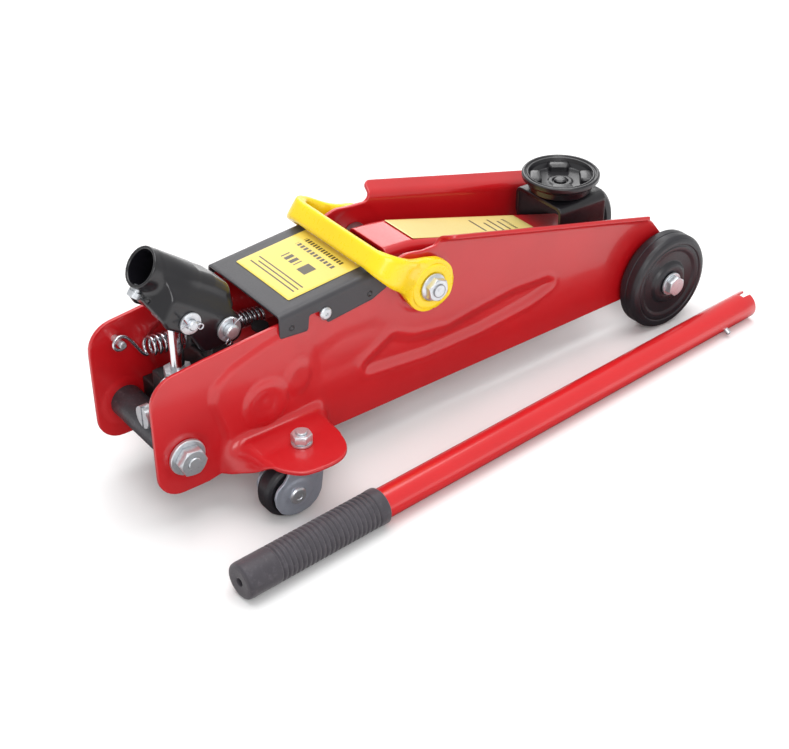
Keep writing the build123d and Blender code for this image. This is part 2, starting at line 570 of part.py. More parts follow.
# ---- loose pump handle --------------------------------------------------
BUTT, TIP = (-449.0, -126.6), (62.0, -90.0)   # ends on the floor (x, y)
TUBE_R, TUBE_BORE, GRIP_R, GRIP_L = 11.0, 9.3, 13.0, 118.0
BUTTON_R, BUTTON_TURN = 2.0, 118
RIBS, RIB_START, RIB_PITCH = 22, 26.0, 3.9

handle_l = math.dist(BUTT, TIP)
slope = math.atan2(GRIP_R - TUBE_R, handle_l - GRIP_L)   # rests on grip's front edge and tip
butt_z = GRIP_R + math.tan(slope) * GRIP_L
yaw = math.degrees(math.atan2(TIP[1] - BUTT[1], TIP[0] - BUTT[0]))
# local frame: +X along the handle from butt to tip
place = Pos(*BUTT, butt_z + 0.02) * Rot(0, 0, yaw) * Rot(0, math.degrees(slope), 0)
button_place = Pos(handle_l - 36.0, 0, 0) * Rot(BUTTON_TURN, 0, 0)


def handle_rod(radius, start, end):
    return rod_x((0, 0), radius, start, end)


tube = handle_rod(TUBE_R, 5.0, handle_l) - handle_rod(TUBE_BORE, 3.0, handle_l + 2)
tube = tube - Pos(handle_l, 0, 0) * Box(16.0, 6.5, 40.0)   # slot across the tip
tube = tube - button_place * Pos(0, 0, 10) * Cylinder(BUTTON_R + GAP, 12.0)
write("handle_tube", place * tube)

grip = (handle_rod(GRIP_R, 0.0, GRIP_L) - handle_rod(TUBE_R + 0.03, 4.9, GRIP_L + 2)
        - handle_rod(3.0, -1, 6))
for k in range(RIBS):
    start = RIB_START + RIB_PITCH * k
    grip = grip - (handle_rod(GRIP_R + 1, start, start + 1.5)
                   - handle_rod(GRIP_R - 0.9, start - 1, start + 2.5))
# round the outer rim at the butt
butt_edges = grip.edges().filter_by(GeomType.CIRCLE).sort_by(lambda edge: edge.center().X)[:3]
grip = fillet(butt_edges.filter_by(lambda edge: abs(edge.radius - GRIP_R) < 0.01), 3.0)
write("handle_grip", place * grip)
write("handle_button", place * (button_place * Pos(0, 0, 11.3) * Cylinder(BUTTON_R, 8.6)))
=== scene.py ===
"""A low trolley jack with a yellow carry handle, and its loose lever handle on the floor.

Sizes are in millimetres in the jack's own axes: x runs forward to the front wheels, y to the
left and z up, with the origin on the floor under the middle of the front axle. place() moves
them into the shared frame, in metres. The loose handle lies along the jack's right side (-y).
"""
import bpy
import bmesh
import math
import numpy as np
from mathutils import Vector, Matrix
from mathutils.geometry import delaunay_2d_cdt


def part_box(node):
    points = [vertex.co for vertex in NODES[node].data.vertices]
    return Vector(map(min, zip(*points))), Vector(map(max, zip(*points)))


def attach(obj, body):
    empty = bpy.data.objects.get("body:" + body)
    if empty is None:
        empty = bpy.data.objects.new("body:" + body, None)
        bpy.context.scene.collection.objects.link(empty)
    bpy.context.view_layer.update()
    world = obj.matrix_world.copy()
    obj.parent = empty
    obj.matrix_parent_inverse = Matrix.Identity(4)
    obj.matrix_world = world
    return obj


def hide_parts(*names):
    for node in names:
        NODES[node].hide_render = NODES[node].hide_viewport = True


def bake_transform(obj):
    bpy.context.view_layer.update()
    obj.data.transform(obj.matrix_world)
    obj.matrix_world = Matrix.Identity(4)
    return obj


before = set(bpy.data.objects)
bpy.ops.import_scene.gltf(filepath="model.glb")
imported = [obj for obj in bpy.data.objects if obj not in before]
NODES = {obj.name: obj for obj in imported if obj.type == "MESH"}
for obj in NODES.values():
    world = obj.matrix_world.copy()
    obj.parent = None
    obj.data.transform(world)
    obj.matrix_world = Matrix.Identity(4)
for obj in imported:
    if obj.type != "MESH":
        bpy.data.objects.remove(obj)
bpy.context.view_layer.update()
axle_low, axle_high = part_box("front_axle")
ORIGIN = np.array([(axle_low.x + axle_high.x) / 2, (axle_low.y + axle_high.y) / 2, 0.0])
MM = 0.001

# pin and hole centres in side view (x, z)
FRONT_AXLE = (0.0, 40.0)
MAIN_PIVOT = (-236.0, 119.5)
BRACKET_PIVOT = (-68.0, 69.3)
ROD_FRONT_PIN = (-58.0, 39.3)
ARM_REAR_HOLE = (-264.9, 81.2)
REAR_TIE = (-433.0, 55.9)
DRIVE_PIN = (-412.0, 142.7)
SOCKET_PIVOT = (-384.0, 127.5)
SPRING_PEG = (-436.0, 108.0)
RAM_CROSS_PIN = (-290.0, 74.0)
COVER_SCREW = (-320.7, 125.4)

SADDLE_X = BRACKET_PIVOT[0]
CASTER_X, CASTER_Y = -361.0, 71.0       # swivel axis
CASTER_TRAIL = 13.5                     # the caster's axle sits this far behind its swivel
CASTER_AXLE_Z = 21.0

X_AXIS, Y_AXIS, Z_AXIS = (1.0, 0, 0), (0, 1, 0), (0, 0, 1)
SIDES = ((-1, "right"), (1, "left"))


def place(points):
    """Jack millimetres to metres in the shared frame."""
    return np.asarray(points, float) * MM + ORIGIN


def at(pin, y=0):
    return (pin[0], y, pin[1])


def on_left(side, node):
    """A CAD node that holds both sides' pieces is replaced by the left one."""
    return (node,) if side > 0 else ()


# ------------------------------------------------------------------ meshes
# A shape is a pair: list of vertices, list of faces.
def finish_mesh(ob, mat, angle=35.0):
    mesh = ob.data
    mesh.polygons.foreach_set("use_smooth", [True] * len(mesh.polygons))
    if angle < 180:
        mesh.set_sharp_from_angle(angle=math.radians(angle))
    if mat is not None:
        mesh.materials.clear()
        mesh.materials.append(mat)
    mesh.update()


def enrol(ob, replaces=(), body=None):
    if replaces:
        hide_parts(*replaces)
    if body:
        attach(ob, body)


def make(name, shape, mat=None, body=None, angle=35.0, replaces=(), merge=0.0):
    verts, faces = shape
    mesh = bpy.data.meshes.new(name)
    placed = place(np.asarray(verts, float).reshape(-1, 3))
    mesh.from_pydata([tuple(p) for p in placed], [], [tuple(int(i) for i in f) for f in faces])
    ob = bpy.data.objects.new(name, mesh)
    bpy.context.scene.collection.objects.link(ob)
    bm = bmesh.new()
    bm.from_mesh(mesh)
    if merge > 0:
        bmesh.ops.remove_doubles(bm, verts=bm.verts, dist=merge * MM)
    bmesh.ops.recalc_face_normals(bm, faces=bm.faces)
    bm.to_mesh(mesh)
    bm.free()
    finish_mesh(ob, mat, angle)
    enrol(ob, replaces, body)
    return ob


def bake(ob):
    """Replace the mesh by the result of its modifiers."""
    depsgraph = bpy.context.evaluated_depsgraph_get()
    mesh = bpy.data.meshes.new_from_object(ob.evaluated_get(depsgraph))
    ob.modifiers.clear()
    ob.data = mesh


def join(*shapes):
    verts, faces = [], []
    for part_verts, part_faces in shapes:
        base = len(verts)
        verts += list(part_verts)
        faces += [tuple(i + base for i in f) for f in part_faces]
    return verts, faces


def axes_about(axis):
    """Two cross axes and the unit vector along axis."""
    z = np.asarray(axis, float)
    z = z / np.linalg.norm(z)
    helper = np.array([0, 0, 1.0]) if abs(z[2]) < 0.9 else np.array(X_AXIS)
    x = np.cross(helper, z)
    x /= np.linalg.norm(x)
    return x, np.cross(z, x), z


def column_faces(segs, radii):
    """Faces between closed columns set around an axis; edges lying on the axis are skipped."""
    n = len(radii)
    faces = []
    for k in range(segs):
        k2 = (k + 1) % segs
        for i in range(n):
            j = (i + 1) % n
            if radii[i] < 1e-6 and radii[j] < 1e-6:
                continue
            faces.append((k * n + i, k2 * n + i, k2 * n + j, k * n + j))
    return faces


def ring_faces(count, segs):
    """Faces between successive rings, with a cap at each end."""
    faces = []
    for i in range(count - 1):
        for k in range(segs):
            k2 = (k + 1) % segs
            faces.append((i * segs + k, i * segs + k2, (i + 1) * segs + k2, (i + 1) * segs + k))
    faces.append(tuple(range(segs - 1, -1, -1)))
    faces.append(tuple((count - 1) * segs + k for k in range(segs)))
    return faces


def turned(profile, origin, axis, segs=96):
    """Closed profile of (radius, height) turned about axis through origin."""
    x, y, z = axes_about(axis)
    start = np.asarray(origin, float)
    verts = []
    for k in range(segs):
        a = 2 * math.pi * k / segs
        out = x * math.cos(a) + y * math.sin(a)
        for radius, height in profile:
            verts.append(start + out * radius + z * height)
    return verts, column_faces(segs, [p[0] for p in profile])


def rounded(points):
    """Closed outline of (x, y[, corner radius]) with its corners turned into arcs."""
    out = []
    n = len(points)
    for i, p in enumerate(points):
        radius = p[2] if len(p) > 2 else 0
        if radius <= 0:
            out.append((p[0], p[1]))
            continue
        corner = np.array(p[:2], float)
        back = np.array(points[i - 1][:2], float) - corner
        ahead = np.array(points[(i + 1) % n][:2], float) - corner
        back_len, ahead_len = np.linalg.norm(back), np.linalg.norm(ahead)
        back, ahead = back / back_len, ahead / ahead_len
        angle = math.acos(max(-1, min(1, float(back @ ahead))))
        if angle > math.pi - 0.02:
            out.append(tuple(corner))
            continue
        setback = min(radius / math.tan(angle / 2), back_len * 0.49, ahead_len * 0.49)
        fitted = setback * math.tan(angle / 2)
        bisector = (back + ahead) / np.linalg.norm(back + ahead)
        centre = corner + bisector * (fitted / math.sin(angle / 2))
        v1 = corner + back * setback - centre
        v2 = corner + ahead * setback - centre
        sweep = math.pi - angle
        steps = max(2, int(math.ceil(math.degrees(sweep) / 12)))
        sign = 1 if v1[0] * v2[1] - v1[1] * v2[0] > 0 else -1
        for k in range(steps + 1):
            th = sign * sweep * k / steps
            out.append((centre[0] + v1[0] * math.cos(th) - v1[1] * math.sin(th),
                        centre[1] + v1[0] * math.sin(th) + v1[1] * math.cos(th)))
    return np.array(out, float)


def lathe(name, profile, origin, axis, mat, body, segs=96, replaces=(), angle=35):
    return make(name, turned(rounded(profile), origin, axis, segs), mat, body, angle,
                replaces, merge=0.0005)


def zinc_lathe(name, profile, origin, axis, segs=96, body="frame", replaces=()):
    return lathe(name, profile, origin, axis, ZINC, body, segs, replaces)


def hexagon(origin, axis, across, height, hole=0.0, turn=0.0, both=False, dome=0.0):
    """Hex nut or head over its flats, chamfered at the far end or at both."""
    segs = 96
    x, y, z = axes_about(axis)
    start = np.asarray(origin, float)
    face_r = across / 2 * 0.965
    a = 2 * math.pi * np.arange(segs) / segs
    edge_r = across / 2 / np.cos((a + math.pi / 6) % (math.pi / 3) - math.pi / 6)
    drop = np.maximum(edge_r - face_r, 0.0) * 0.58
    flat = np.zeros(segs)
    if hole > 0:
        rings = [(flat + hole, flat + height - 0.8), (flat + hole + 0.8, flat + height)]
    else:
        rings = [(flat, flat + height + dome)]
    rings += [(flat + face_r, flat + height),
              (edge_r - 0.12, height - drop + 0.02),
              (edge_r, height - drop - 0.22)]
    if both:
        rings += [(edge_r, drop + 0.22), (edge_r - 0.12, drop - 0.02), (flat + face_r, flat)]
    else:
        rings += [(edge_r, flat + 0.15), (edge_r - 0.12, flat)]
    rings.append((flat + hole, flat))
    verts = []
    for k in range(segs):
        angle = a[k] + math.radians(turn)
        out = x * math.cos(angle) + y * math.sin(angle)
        for radius, rise in rings:
            verts.append(start + out * radius[k] + z * rise[k])
    return verts, column_faces(segs, [ring[0][0] for ring in rings])


def hex_piece(name, origin, axis, across, height, replaces=(), **form):
    make(name, hexagon(origin, axis, across, height, **form), ZINC, "frame", 28,
         replaces, merge=0.001)


def thread(origin, axis, radius, length, pitch=1.25):
    """Bolt end with turned grooves and a tapered rim."""
    root = radius - 0.55
    profile = [(0.0, 0.0), (root, 0.0)]
    for i in range(max(1, int((length - 1.2) / pitch))):
        h = i * pitch
        profile += [(root, h + pitch * 0.08), (radius, h + pitch * 0.42),
                    (radius, h + pitch * 0.58), (root, h + pitch * 0.95)]
    profile += [(root, length - 1.0), (radius - 0.15, length - 0.9), (radius * 0.86, length),
                (0.0, length)]
    return turned(profile, origin, axis, 48)


def wire(path, radius, segs):
    """Round wire along a path."""
    path = np.asarray(path, float)
    tangents = np.gradient(path, axis=0)
    tangents /= np.linalg.norm(tangents, axis=1)[:, None]
    x = axes_about(tangents[0])[0]
    verts = []
    for point, tangent in zip(path, tangents):
        x = x - tangent * (x @ tangent)
        x /= np.linalg.norm(x)
        y = np.cross(tangent, x)
        for k in range(segs):
            a = 2 * math.pi * k / segs
            verts.append(point + (x * math.cos(a) + y * math.sin(a)) * radius)
    return verts, ring_faces(len(path), segs)


# ------------------------------------------------------- flat outline tools
def circle(centre, radius, n=40):
    return np.array([(centre[0] + radius * math.cos(2 * math.pi * k / n),
                      centre[1] + radius * math.sin(2 * math.pi * k / n)) for k in range(n)])


def dense(loop, step):
    """The loop with points about one step apart."""
    out = []
    loop = np.asarray(loop, float)
    for i in range(len(loop)):
        a, b = loop[i], loop[(i + 1) % len(loop)]
        dist = np.linalg.norm(b - a)
        if dist < 1e-6:
            continue
        count = max(1, int(round(dist / step)))
        for k in range(count):
            out.append(a + (b - a) * k / count)
    return np.array(out)


def area(loop):
    x, y = loop[:, 0], loop[:, 1]
    return 0.5 * float(np.sum(x * np.roll(y, -1) - np.roll(x, -1) * y))


def offset(loop, dist):
    """The loop moved to the left of its run."""
    a = loop - np.roll(loop, 1, 0)
    b = np.roll(loop, -1, 0) - loop
    normal_a = np.stack([-a[:, 1], a[:, 0]], 1) / np.linalg.norm(a, axis=1)[:, None]
    normal_b = np.stack([-b[:, 1], b[:, 0]], 1) / np.linalg.norm(b, axis=1)[:, None]
    mitre = normal_a + normal_b
    mitre /= np.maximum(np.linalg.norm(mitre, axis=1), 1e-6)[:, None]
    cosine = np.clip(np.sum(mitre * normal_a, 1), 0.5, 1)
    return loop + mitre * (dist / cosine)[:, None]


def inside(points, loops):
    crossings = np.zeros(len(points), int)
    for loop in loops:
        x0, y0 = loop[:, 0], loop[:, 1]
        x1, y1 = np.roll(x0, -1), np.roll(y0, -1)
        px, py = points[:, 0][:, None], points[:, 1][:, None]
        spans = (y0 > py) != (y1 > py)
        rise = np.where(np.abs(y1 - y0) < 1e-12, 1e-12, y1 - y0)
        hit = (x1 - x0) * (py - y0) / rise + x0
        crossings += np.sum(spans & (px < hit), axis=1)
    return (crossings % 2) == 1


def edge_distance(points, loop):
    ends = np.roll(loop, -1, 0)
    best = np.full(len(points), 1e9)
    for i in range(0, len(loop), 64):       # in blocks, to bound the memory
        a, b = loop[i:i + 64], ends[i:i + 64]
        d = b - a
        square = np.maximum(np.sum(d * d, 1), 1e-12)
        t = np.clip(np.sum((points[:, None] - a) * d, 2) / square, 0, 1)
        near = a + t[..., None] * d
        best = np.minimum(best, np.sqrt(np.sum((points[:, None] - near) ** 2, 2)).min(1))
    return best


def depth_inside(points, outline):
    """Signed distance to a closed outline: positive inside."""
    loop = np.asarray(outline, float)
    dist = edge_distance(points, loop)
    return np.where(inside(points, [loop]), dist, -dist)


def smooth_step(x, low, high):
    t = np.clip((x - low) / (high - low), 0, 1)
    return t * t * (3 - 2 * t)


# ------------------------------------------------------------- sheet pieces
def sheet(outline, holes, surface, thick, bevel=0.6, grid=2.5, step=1.6, rim=3):
    """Sheet of even thickness with rounded edges.

    Outline and holes are flat loops; surface maps flat points to the mid-surface. grid and
    step are the point spacings inside and along the outline, rim the rows per rounded edge.
    """
    loops = []
    for i, loop in enumerate([outline] + list(holes)):
        loop = dense(loop, step if i == 0 else 1.0)
        if (area(loop) > 0) != (i == 0):
            loop = loop[::-1].copy()
        loops.append(loop)
    inner = [offset(loop, bevel) for loop in loops]
    low, high = loops[0].min(0), loops[0].max(0)
    columns = np.arange(low[0], high[0], grid)
    rows = np.arange(low[1], high[1], grid * 0.866)
    fill = np.array([(x + (0.5 * grid if j % 2 else 0), y)
                     for j, y in enumerate(rows) for x in columns])
    fill = fill[inside(fill, inner)]
    nearest = np.full(len(fill), 1e9)
    for loop in inner:
        nearest = np.minimum(nearest, edge_distance(fill, loop))
    fill = fill[nearest > 0.6 * min(grid, step)]
    points, edges, starts = [], [], []
    for loop in inner:
        start = len(points)
        starts.append(start)
        points += [Vector((float(p[0]), float(p[1]))) for p in loop]
        edges += [(start + i, start + (i + 1) % len(loop)) for i in range(len(loop))]
    points += [Vector((float(p[0]), float(p[1]))) for p in fill]
    result = delaunay_2d_cdt(points, edges, [], 0, 1e-5)
    flat = np.array([(v[0], v[1]) for v in result[0]])
    index = {}
    for i, sources in enumerate(result[3]):
        for source in sources:
            index[source] = i
    tris = np.array([f for f in result[2] if len(f) == 3])
    tris = tris[inside(flat[tris].mean(1), inner)]
    tiny = 0.05

    def with_normal(uv):
        along_u = surface(uv + [tiny, 0]) - surface(uv - [tiny, 0])
        along_v = surface(uv + [0, tiny]) - surface(uv - [0, tiny])
        normal = np.cross(along_u, along_v)
        normal /= np.linalg.norm(normal, axis=1)[:, None]
        return surface(uv), normal

    mid, normal = with_normal(flat)
    count = len(flat)
    verts = list(mid + normal * thick / 2) + list(mid - normal * thick / 2)
    faces = [tuple(t) for t in tris] + [(t[2] + count, t[1] + count, t[0] + count) for t in tris]
    angles = [k / rim * math.pi / 2 for k in range(1, rim + 1)]
    profile = [(bevel * (1 - math.sin(a)), thick / 2 - bevel * (1 - math.cos(a))) for a in angles]
    profile += [(inset, -height) for inset, height in profile[::-1]]
    for loop, inner_loop, start in zip(loops, inner, starts):
        top = [index[start + i] for i in range(len(loop))]
        strips = [top]
        for inset, height in profile:
            mid, normal = with_normal(loop + (inner_loop - loop) * (inset / bevel))
            first = len(verts)
            verts += list(mid + normal * height)
            strips.append([first + i for i in range(len(loop))])
        strips.append([i + count for i in top])
        for upper, lower in zip(strips[:-1], strips[1:]):
            for i in range(len(loop)):
                j = (i + 1) % len(loop)
                faces.append((upper[i], upper[j], lower[j], lower[i]))
    return verts, faces


class Channel:
    """Sheet folded from a top face into two walls.

    Flat coordinates are x and the run across the sheet from its centre line. top(x) is the
    height of the mid-surface, half the walls' mid half width, bend the fold radius.
    """

    def __init__(self, top, half, bend):
        self.top, self.half, self.bend = top, half, bend

    def surface(self, uv):
        x, v = uv[:, 0], uv[:, 1]
        run = np.abs(v)
        face = self.half - self.bend
        fold = np.clip(run - face, 0, self.bend * math.pi / 2) / self.bend
        down = np.maximum(run - face - self.bend * math.pi / 2, 0)
        y = np.where(run < face, run, face + self.bend * np.sin(fold))
        z = self.top(x) - self.bend * (1 - np.cos(fold)) - down
        return np.stack([x, y * np.sign(v), z], 1)

    def wall(self, x, z):
        """Run across the sheet to a wall point at height z."""
        return self.top(x) - z + self.half + self.bend * (math.pi / 2 - 2)

    def outline(self, points, first=1):
        """Both walls' outline from one wall's (x, z, corner radius); first is its side."""
        one = [(x, first * max(self.wall(x, z), self.half), r) for x, z, r in points]
        return rounded(one + [(x, -v, r) for x, v, r in one[::-1]])

    def holes(self, centre, radius, n=40):
        """A round hole in each wall where the top is level."""
        return [circle((centre[0], s * self.wall(*centre)), radius, n) for s in (1, -1)]


def melt(node, name, mat, body, voxel, smooth):
    """A rounded casting or weldment taken from a node's solid."""
    mesh = NODES[node].data.copy()
    mesh.name = name
    ob = bpy.data.objects.new(name, mesh)
    bpy.context.scene.collection.objects.link(ob)
    bm = bmesh.new()
    bm.from_mesh(mesh)
    bmesh.ops.remove_doubles(bm, verts=bm.verts, dist=0.00001)
    bmesh.ops.recalc_face_normals(bm, faces=bm.faces)
    bm.to_mesh(mesh)
    bm.free()
    remesh = ob.modifiers.new("r", "REMESH")
    remesh.mode = "VOXEL"
    remesh.voxel_size = voxel * 0.001
    remesh.adaptivity = 0.0
    relax = ob.modifiers.new("s", "SMOOTH")
    relax.iterations = smooth
    relax.factor = 0.6
    bake(ob)
    ob.data.name = name
    finish_mesh(ob, mat, 180)
    enrol(ob, (node,), body)


# ------------------------------------------------------------ shader helpers
def srgb(r, g, b):
    """Linear colour from 0-255 sRGB."""
    def linear(c):
        return c / 12.92 if c <= 0.04045 else ((c + 0.055) / 1.055) ** 2.4
    return (linear(r / 255), linear(g / 255), linear(b / 255), 1.0)


def math_node(tree, operation, *inputs, clamp=False):
    node = tree.nodes.new("ShaderNodeMath")
    node.operation = operation
    node.use_clamp = clamp
    for i, value in enumerate(inputs):
        if isinstance(value, (int, float)):
            node.inputs[i].default_value = value
        else:
            tree.links.new(value, node.inputs[i])
    return node.outputs[0]


def map_range(tree, value, low, high, to_low=0.0, to_high=1.0, clamp=True):
    node = tree.nodes.new("ShaderNodeMapRange")
    node.clamp = clamp
    node.inputs["From Min"].default_value = low
    node.inputs["From Max"].default_value = high
    node.inputs["To Min"].default_value = to_low
    node.inputs["To Max"].default_value = to_high
    tree.links.new(value, node.inputs["Value"])
    return node.outputs["Result"]


def noise(tree, scale, vector=None, detail=2.0, roughness=0.5):
    node = tree.nodes.new("ShaderNodeTexNoise")
    node.inputs["Scale"].default_value = scale
    node.inputs["Detail"].default_value = detail
    node.inputs["Roughness"].default_value = roughness
    if vector is not None:
        tree.links.new(vector, node.inputs["Vector"])
    return node.outputs["Fac"]


def ramp(tree, factor, *stops):
    node = tree.nodes.new("ShaderNodeValToRGB")
    for element, (position, colour) in zip(node.color_ramp.elements, stops):
        element.position = position
        element.color = colour
    tree.links.new(factor, node.inputs["Fac"])
    return node.outputs["Color"]


def mix_colour(tree, factor, base, colour):
    node = tree.nodes.new("ShaderNodeMix")
    node.data_type = "RGBA"
    tree.links.new(factor, node.inputs["Factor"])
    tree.links.new(base, node.inputs["A"])
    node.inputs["B"].default_value = colour
    return node.outputs["Result"]


def bevel_node(tree, radius):
    node = tree.nodes.new("ShaderNodeBevel")
    node.samples = 4
    node.inputs["Radius"].default_value = radius
    return node.outputs[0]


def material(name, colour, rough, metal=0.0, coat=0.0, coat_rough=0.04, shade=0.06,
             shade_scale=35.0, bump=0.1, grain_scale=900.0, grain_depth=0.00005,
             rough_spread=0.08, edge_round=0.0, edge_wear_and_highlight_colour=None, edge_wear_and_highlight=0.0, brushed=None,
             speck=None, sheen=0.0, printing=None):
    """Principled material with uneven shade and a fine grain in roughness and bump.

    shade: relative spread of the colour. grain_depth: metres. edge_round: shaded edge
    radius in mm. The edge colour and its share go on sharp edges: worn paint on the black
    finishes and a painted highlight on the red paint. brushed: stretch of the grain
    per axis. speck: (colour, scale, ramp start, ramp end). printing: adds to the colour.
    """
    mat = bpy.data.materials.new(name)
    mat.use_nodes = True
    tree = mat.node_tree
    nodes, link = tree.nodes, tree.links.new
    nodes.clear()
    out = nodes.new("ShaderNodeOutputMaterial")
    shader = nodes.new("ShaderNodeBsdfPrincipled")
    link(shader.outputs[0], out.inputs[0])
    coords = nodes.new("ShaderNodeTexCoord").outputs["Object"]
    mapping = nodes.new("ShaderNodeMapping")
    link(coords, mapping.inputs[0])
    if brushed:
        mapping.inputs["Scale"].default_value = brushed

    patches = noise(tree, shade_scale, coords, detail=5)
    dark = tuple(c * (1 - shade) for c in colour[:3]) + (1,)
    light = tuple(min(1, c * (1 + shade) + shade * 0.01) for c in colour[:3]) + (1,)
    tint = ramp(tree, patches, (0.3, dark), (0.7, light))
    grain = noise(tree, grain_scale, mapping.outputs[0], detail=3)
    if speck:
        speck_colour, speck_scale, start, end = speck
        dots = noise(tree, speck_scale, mapping.outputs[0], detail=8, roughness=0.7)
        mask = ramp(tree, dots, (start, (0, 0, 0, 1)), (end, (1, 1, 1, 1)))
        tint = mix_colour(tree, mask, tint, speck_colour)
    round_normal = bevel_node(tree, edge_round * 0.001) if edge_round > 0 else None
    if edge_wear_and_highlight > 0:
        # an edge shows where the bevelled normal leaves the true one; the colour laid there is
        # worn paint on the black finishes and a painted highlight on the red paint
        edge_bevel_normal = bevel_node(tree, 0.0011)
        geometry = nodes.new("ShaderNodeNewGeometry")
        dot = nodes.new("ShaderNodeVectorMath")
        dot.operation = "DOT_PRODUCT"
        link(edge_bevel_normal, dot.inputs[0])
        link(geometry.outputs["Normal"], dot.inputs[1])
        edge = map_range(tree, dot.outputs["Value"], low=0.97, high=0.75)
        worn_and_lit_edges = math_node(tree, "MULTIPLY", math_node(tree, "MULTIPLY", edge, edge_wear_and_highlight), patches)
        tint = mix_colour(tree, worn_and_lit_edges, tint, edge_wear_and_highlight_colour)
    if printing:
        tint = printing(tree, coords, tint)
    link(tint, shader.inputs["Base Color"])
    link(map_range(tree, grain, low=0.25, high=0.75, to_low=max(0.02, rough - rough_spread),
                   to_high=min(1, rough + rough_spread)), shader.inputs["Roughness"])
    bumps = nodes.new("ShaderNodeBump")
    bumps.inputs["Strength"].default_value = bump
    bumps.inputs["Distance"].default_value = grain_depth
    link(grain, bumps.inputs["Height"])
    if round_normal:
        link(round_normal, bumps.inputs["Normal"])
    link(bumps.outputs[0], shader.inputs["Normal"])
    shader.inputs["Metallic"].default_value = metal
    shader.inputs["Specular IOR Level"].default_value = 0.5
    shader.inputs["Coat Weight"].default_value = coat
    shader.inputs["Coat Roughness"].default_value = coat_rough
    if sheen:
        shader.inputs["Sheen Weight"].default_value = sheen
    mat.diffuse_color = colour
    return mat


# --------------------------------------------------------------- materials
RED = srgb(193, 17, 25)
RED_FINISH = dict(rough=0.34, coat=0.62, coat_rough=0.09, shade=0.07, shade_scale=18, bump=0.10,
                  grain_scale=420, grain_depth=0.00008, rough_spread=0.05)
# its pink colour on sharp edges is a painted highlight
RED_PAINT = material("red_paint", RED, edge_wear_and_highlight_colour=srgb(232, 92, 100), edge_wear_and_highlight=0.5, **RED_FINISH)
RED_PARTS = material("red_paint_parts", RED, edge_round=0.6, **RED_FINISH)
RED_TUBE = material("red_paint_tube", srgb(208, 24, 30), rough=0.3, coat=0.6, coat_rough=0.08,
                    shade=0.05, shade_scale=14, bump=0.0, grain_scale=60, grain_depth=0.00002,
                    rough_spread=0.02)
BLACK_GLOSS = material("black_gloss", srgb(25, 24, 28), rough=0.34, coat=0.35, coat_rough=0.1,
                       shade=0.12, shade_scale=30, bump=0.05, grain_scale=330,
                       grain_depth=0.00008, rough_spread=0.05, edge_wear_and_highlight_colour=srgb(90, 88, 94),
                       edge_wear_and_highlight=0.25)
SOCKET_BLACK = material("socket_black", srgb(17, 16, 21), rough=0.30, coat=0.35,
                        coat_rough=0.08, shade=0.08, shade_scale=20, bump=0.0, grain_scale=60,
                        grain_depth=0.00002, rough_spread=0.02)
BLACK_SHEET = material("black_sheet", srgb(58, 57, 61), rough=0.45, coat=0.12, coat_rough=0.3,
                       shade=0.05, shade_scale=26, bump=0.12, grain_scale=800,
                       grain_depth=0.00006, rough_spread=0.07,
                       edge_wear_and_highlight_colour=srgb(128, 128, 132), edge_wear_and_highlight=0.5)
YELLOW = material("yellow_plastic", srgb(250, 214, 6), rough=0.3, coat=0.35, coat_rough=0.12,
                  shade=0.04, shade_scale=20, bump=0.12, grain_scale=300, grain_depth=0.0001,
                  rough_spread=0.06)
WHEEL_BLACK = material("wheel_black", srgb(34, 33, 38), rough=0.42, coat=0.12, coat_rough=0.2,
                       shade=0.16, shade_scale=45, bump=0.35, grain_scale=520,
                       grain_depth=0.0001, rough_spread=0.09, edge_wear_and_highlight_colour=srgb(95, 95, 102),
                       edge_wear_and_highlight=0.35)
ZINC = material("zinc", srgb(214, 218, 222), rough=0.34, metal=0.78, shade=0.08, shade_scale=90,
                bump=0.12, grain_scale=700, grain_depth=0.00006, rough_spread=0.06,
                edge_round=0.25, speck=(srgb(176, 178, 186), 300, 0.5, 0.8))
ZINC_PRESSED = material("zinc_pressed", srgb(178, 184, 196), rough=0.36, metal=0.5, shade=0.10,
                        shade_scale=60, bump=0.15, grain_scale=500, grain_depth=0.00008,
                        rough_spread=0.07, speck=(srgb(150, 156, 170), 120, 0.48, 0.8))
CHROME = material("chrome", srgb(228, 230, 234), rough=0.1, metal=1.0, shade=0.05,
                  shade_scale=60, bump=0.05, grain_scale=900, rough_spread=0.04,
                  brushed=(1, 1, 14))
SPRING_STEEL = material("spring_steel", srgb(205, 206, 212), rough=0.22, metal=1.0, shade=0.1,
                        shade_scale=120, bump=0.15, grain_scale=900, rough_spread=0.08)
DARK_TUBE = material("dark_tube", srgb(58, 57, 62), rough=0.42, metal=0.35, coat=0.1, shade=0.2,
                     shade_scale=50, bump=0.5, grain_scale=500, grain_depth=0.0001,
                     rough_spread=0.1, edge_round=0.5, speck=(srgb(92, 90, 96), 300, 0.55, 0.7))
CAST_BLOCK = material("cast_block", srgb(24, 24, 27), rough=0.5, coat=0.25, coat_rough=0.2,
                      shade=0.25, shade_scale=60, bump=0.2, grain_scale=260,
                      grain_depth=0.0001, rough_spread=0.08)
TANK_RED = material("tank_red", srgb(150, 18, 24), rough=0.4, coat=0.5, coat_rough=0.12,
                    shade=0.1, shade_scale=25, bump=0.3, grain_scale=300, grain_depth=0.0001,
                    rough_spread=0.07, edge_round=0.5)
STEEL = material("steel", srgb(150, 150, 154), rough=0.35, metal=1.0, shade=0.2, shade_scale=80,
                 bump=0.3, grain_scale=600, grain_depth=0.00006, rough_spread=0.1,
                 edge_round=0.3, brushed=(1, 6, 1))
PLUG_RUBBER = material("plug_rubber", srgb(36, 36, 38), rough=0.7, shade=0.15, shade_scale=60,
                       bump=0.5, grain_scale=700, grain_depth=0.0001, rough_spread=0.08,
                       edge_round=0.6)
GRIP_RUBBER = material("grip_rubber", srgb(60, 56, 63), rough=0.55, shade=0.13, shade_scale=38,
                       bump=0.5, grain_scale=900, grain_depth=0.00012, rough_spread=0.1,
                       sheen=0.25, speck=(srgb(78, 73, 80), 240, 0.52, 0.72))


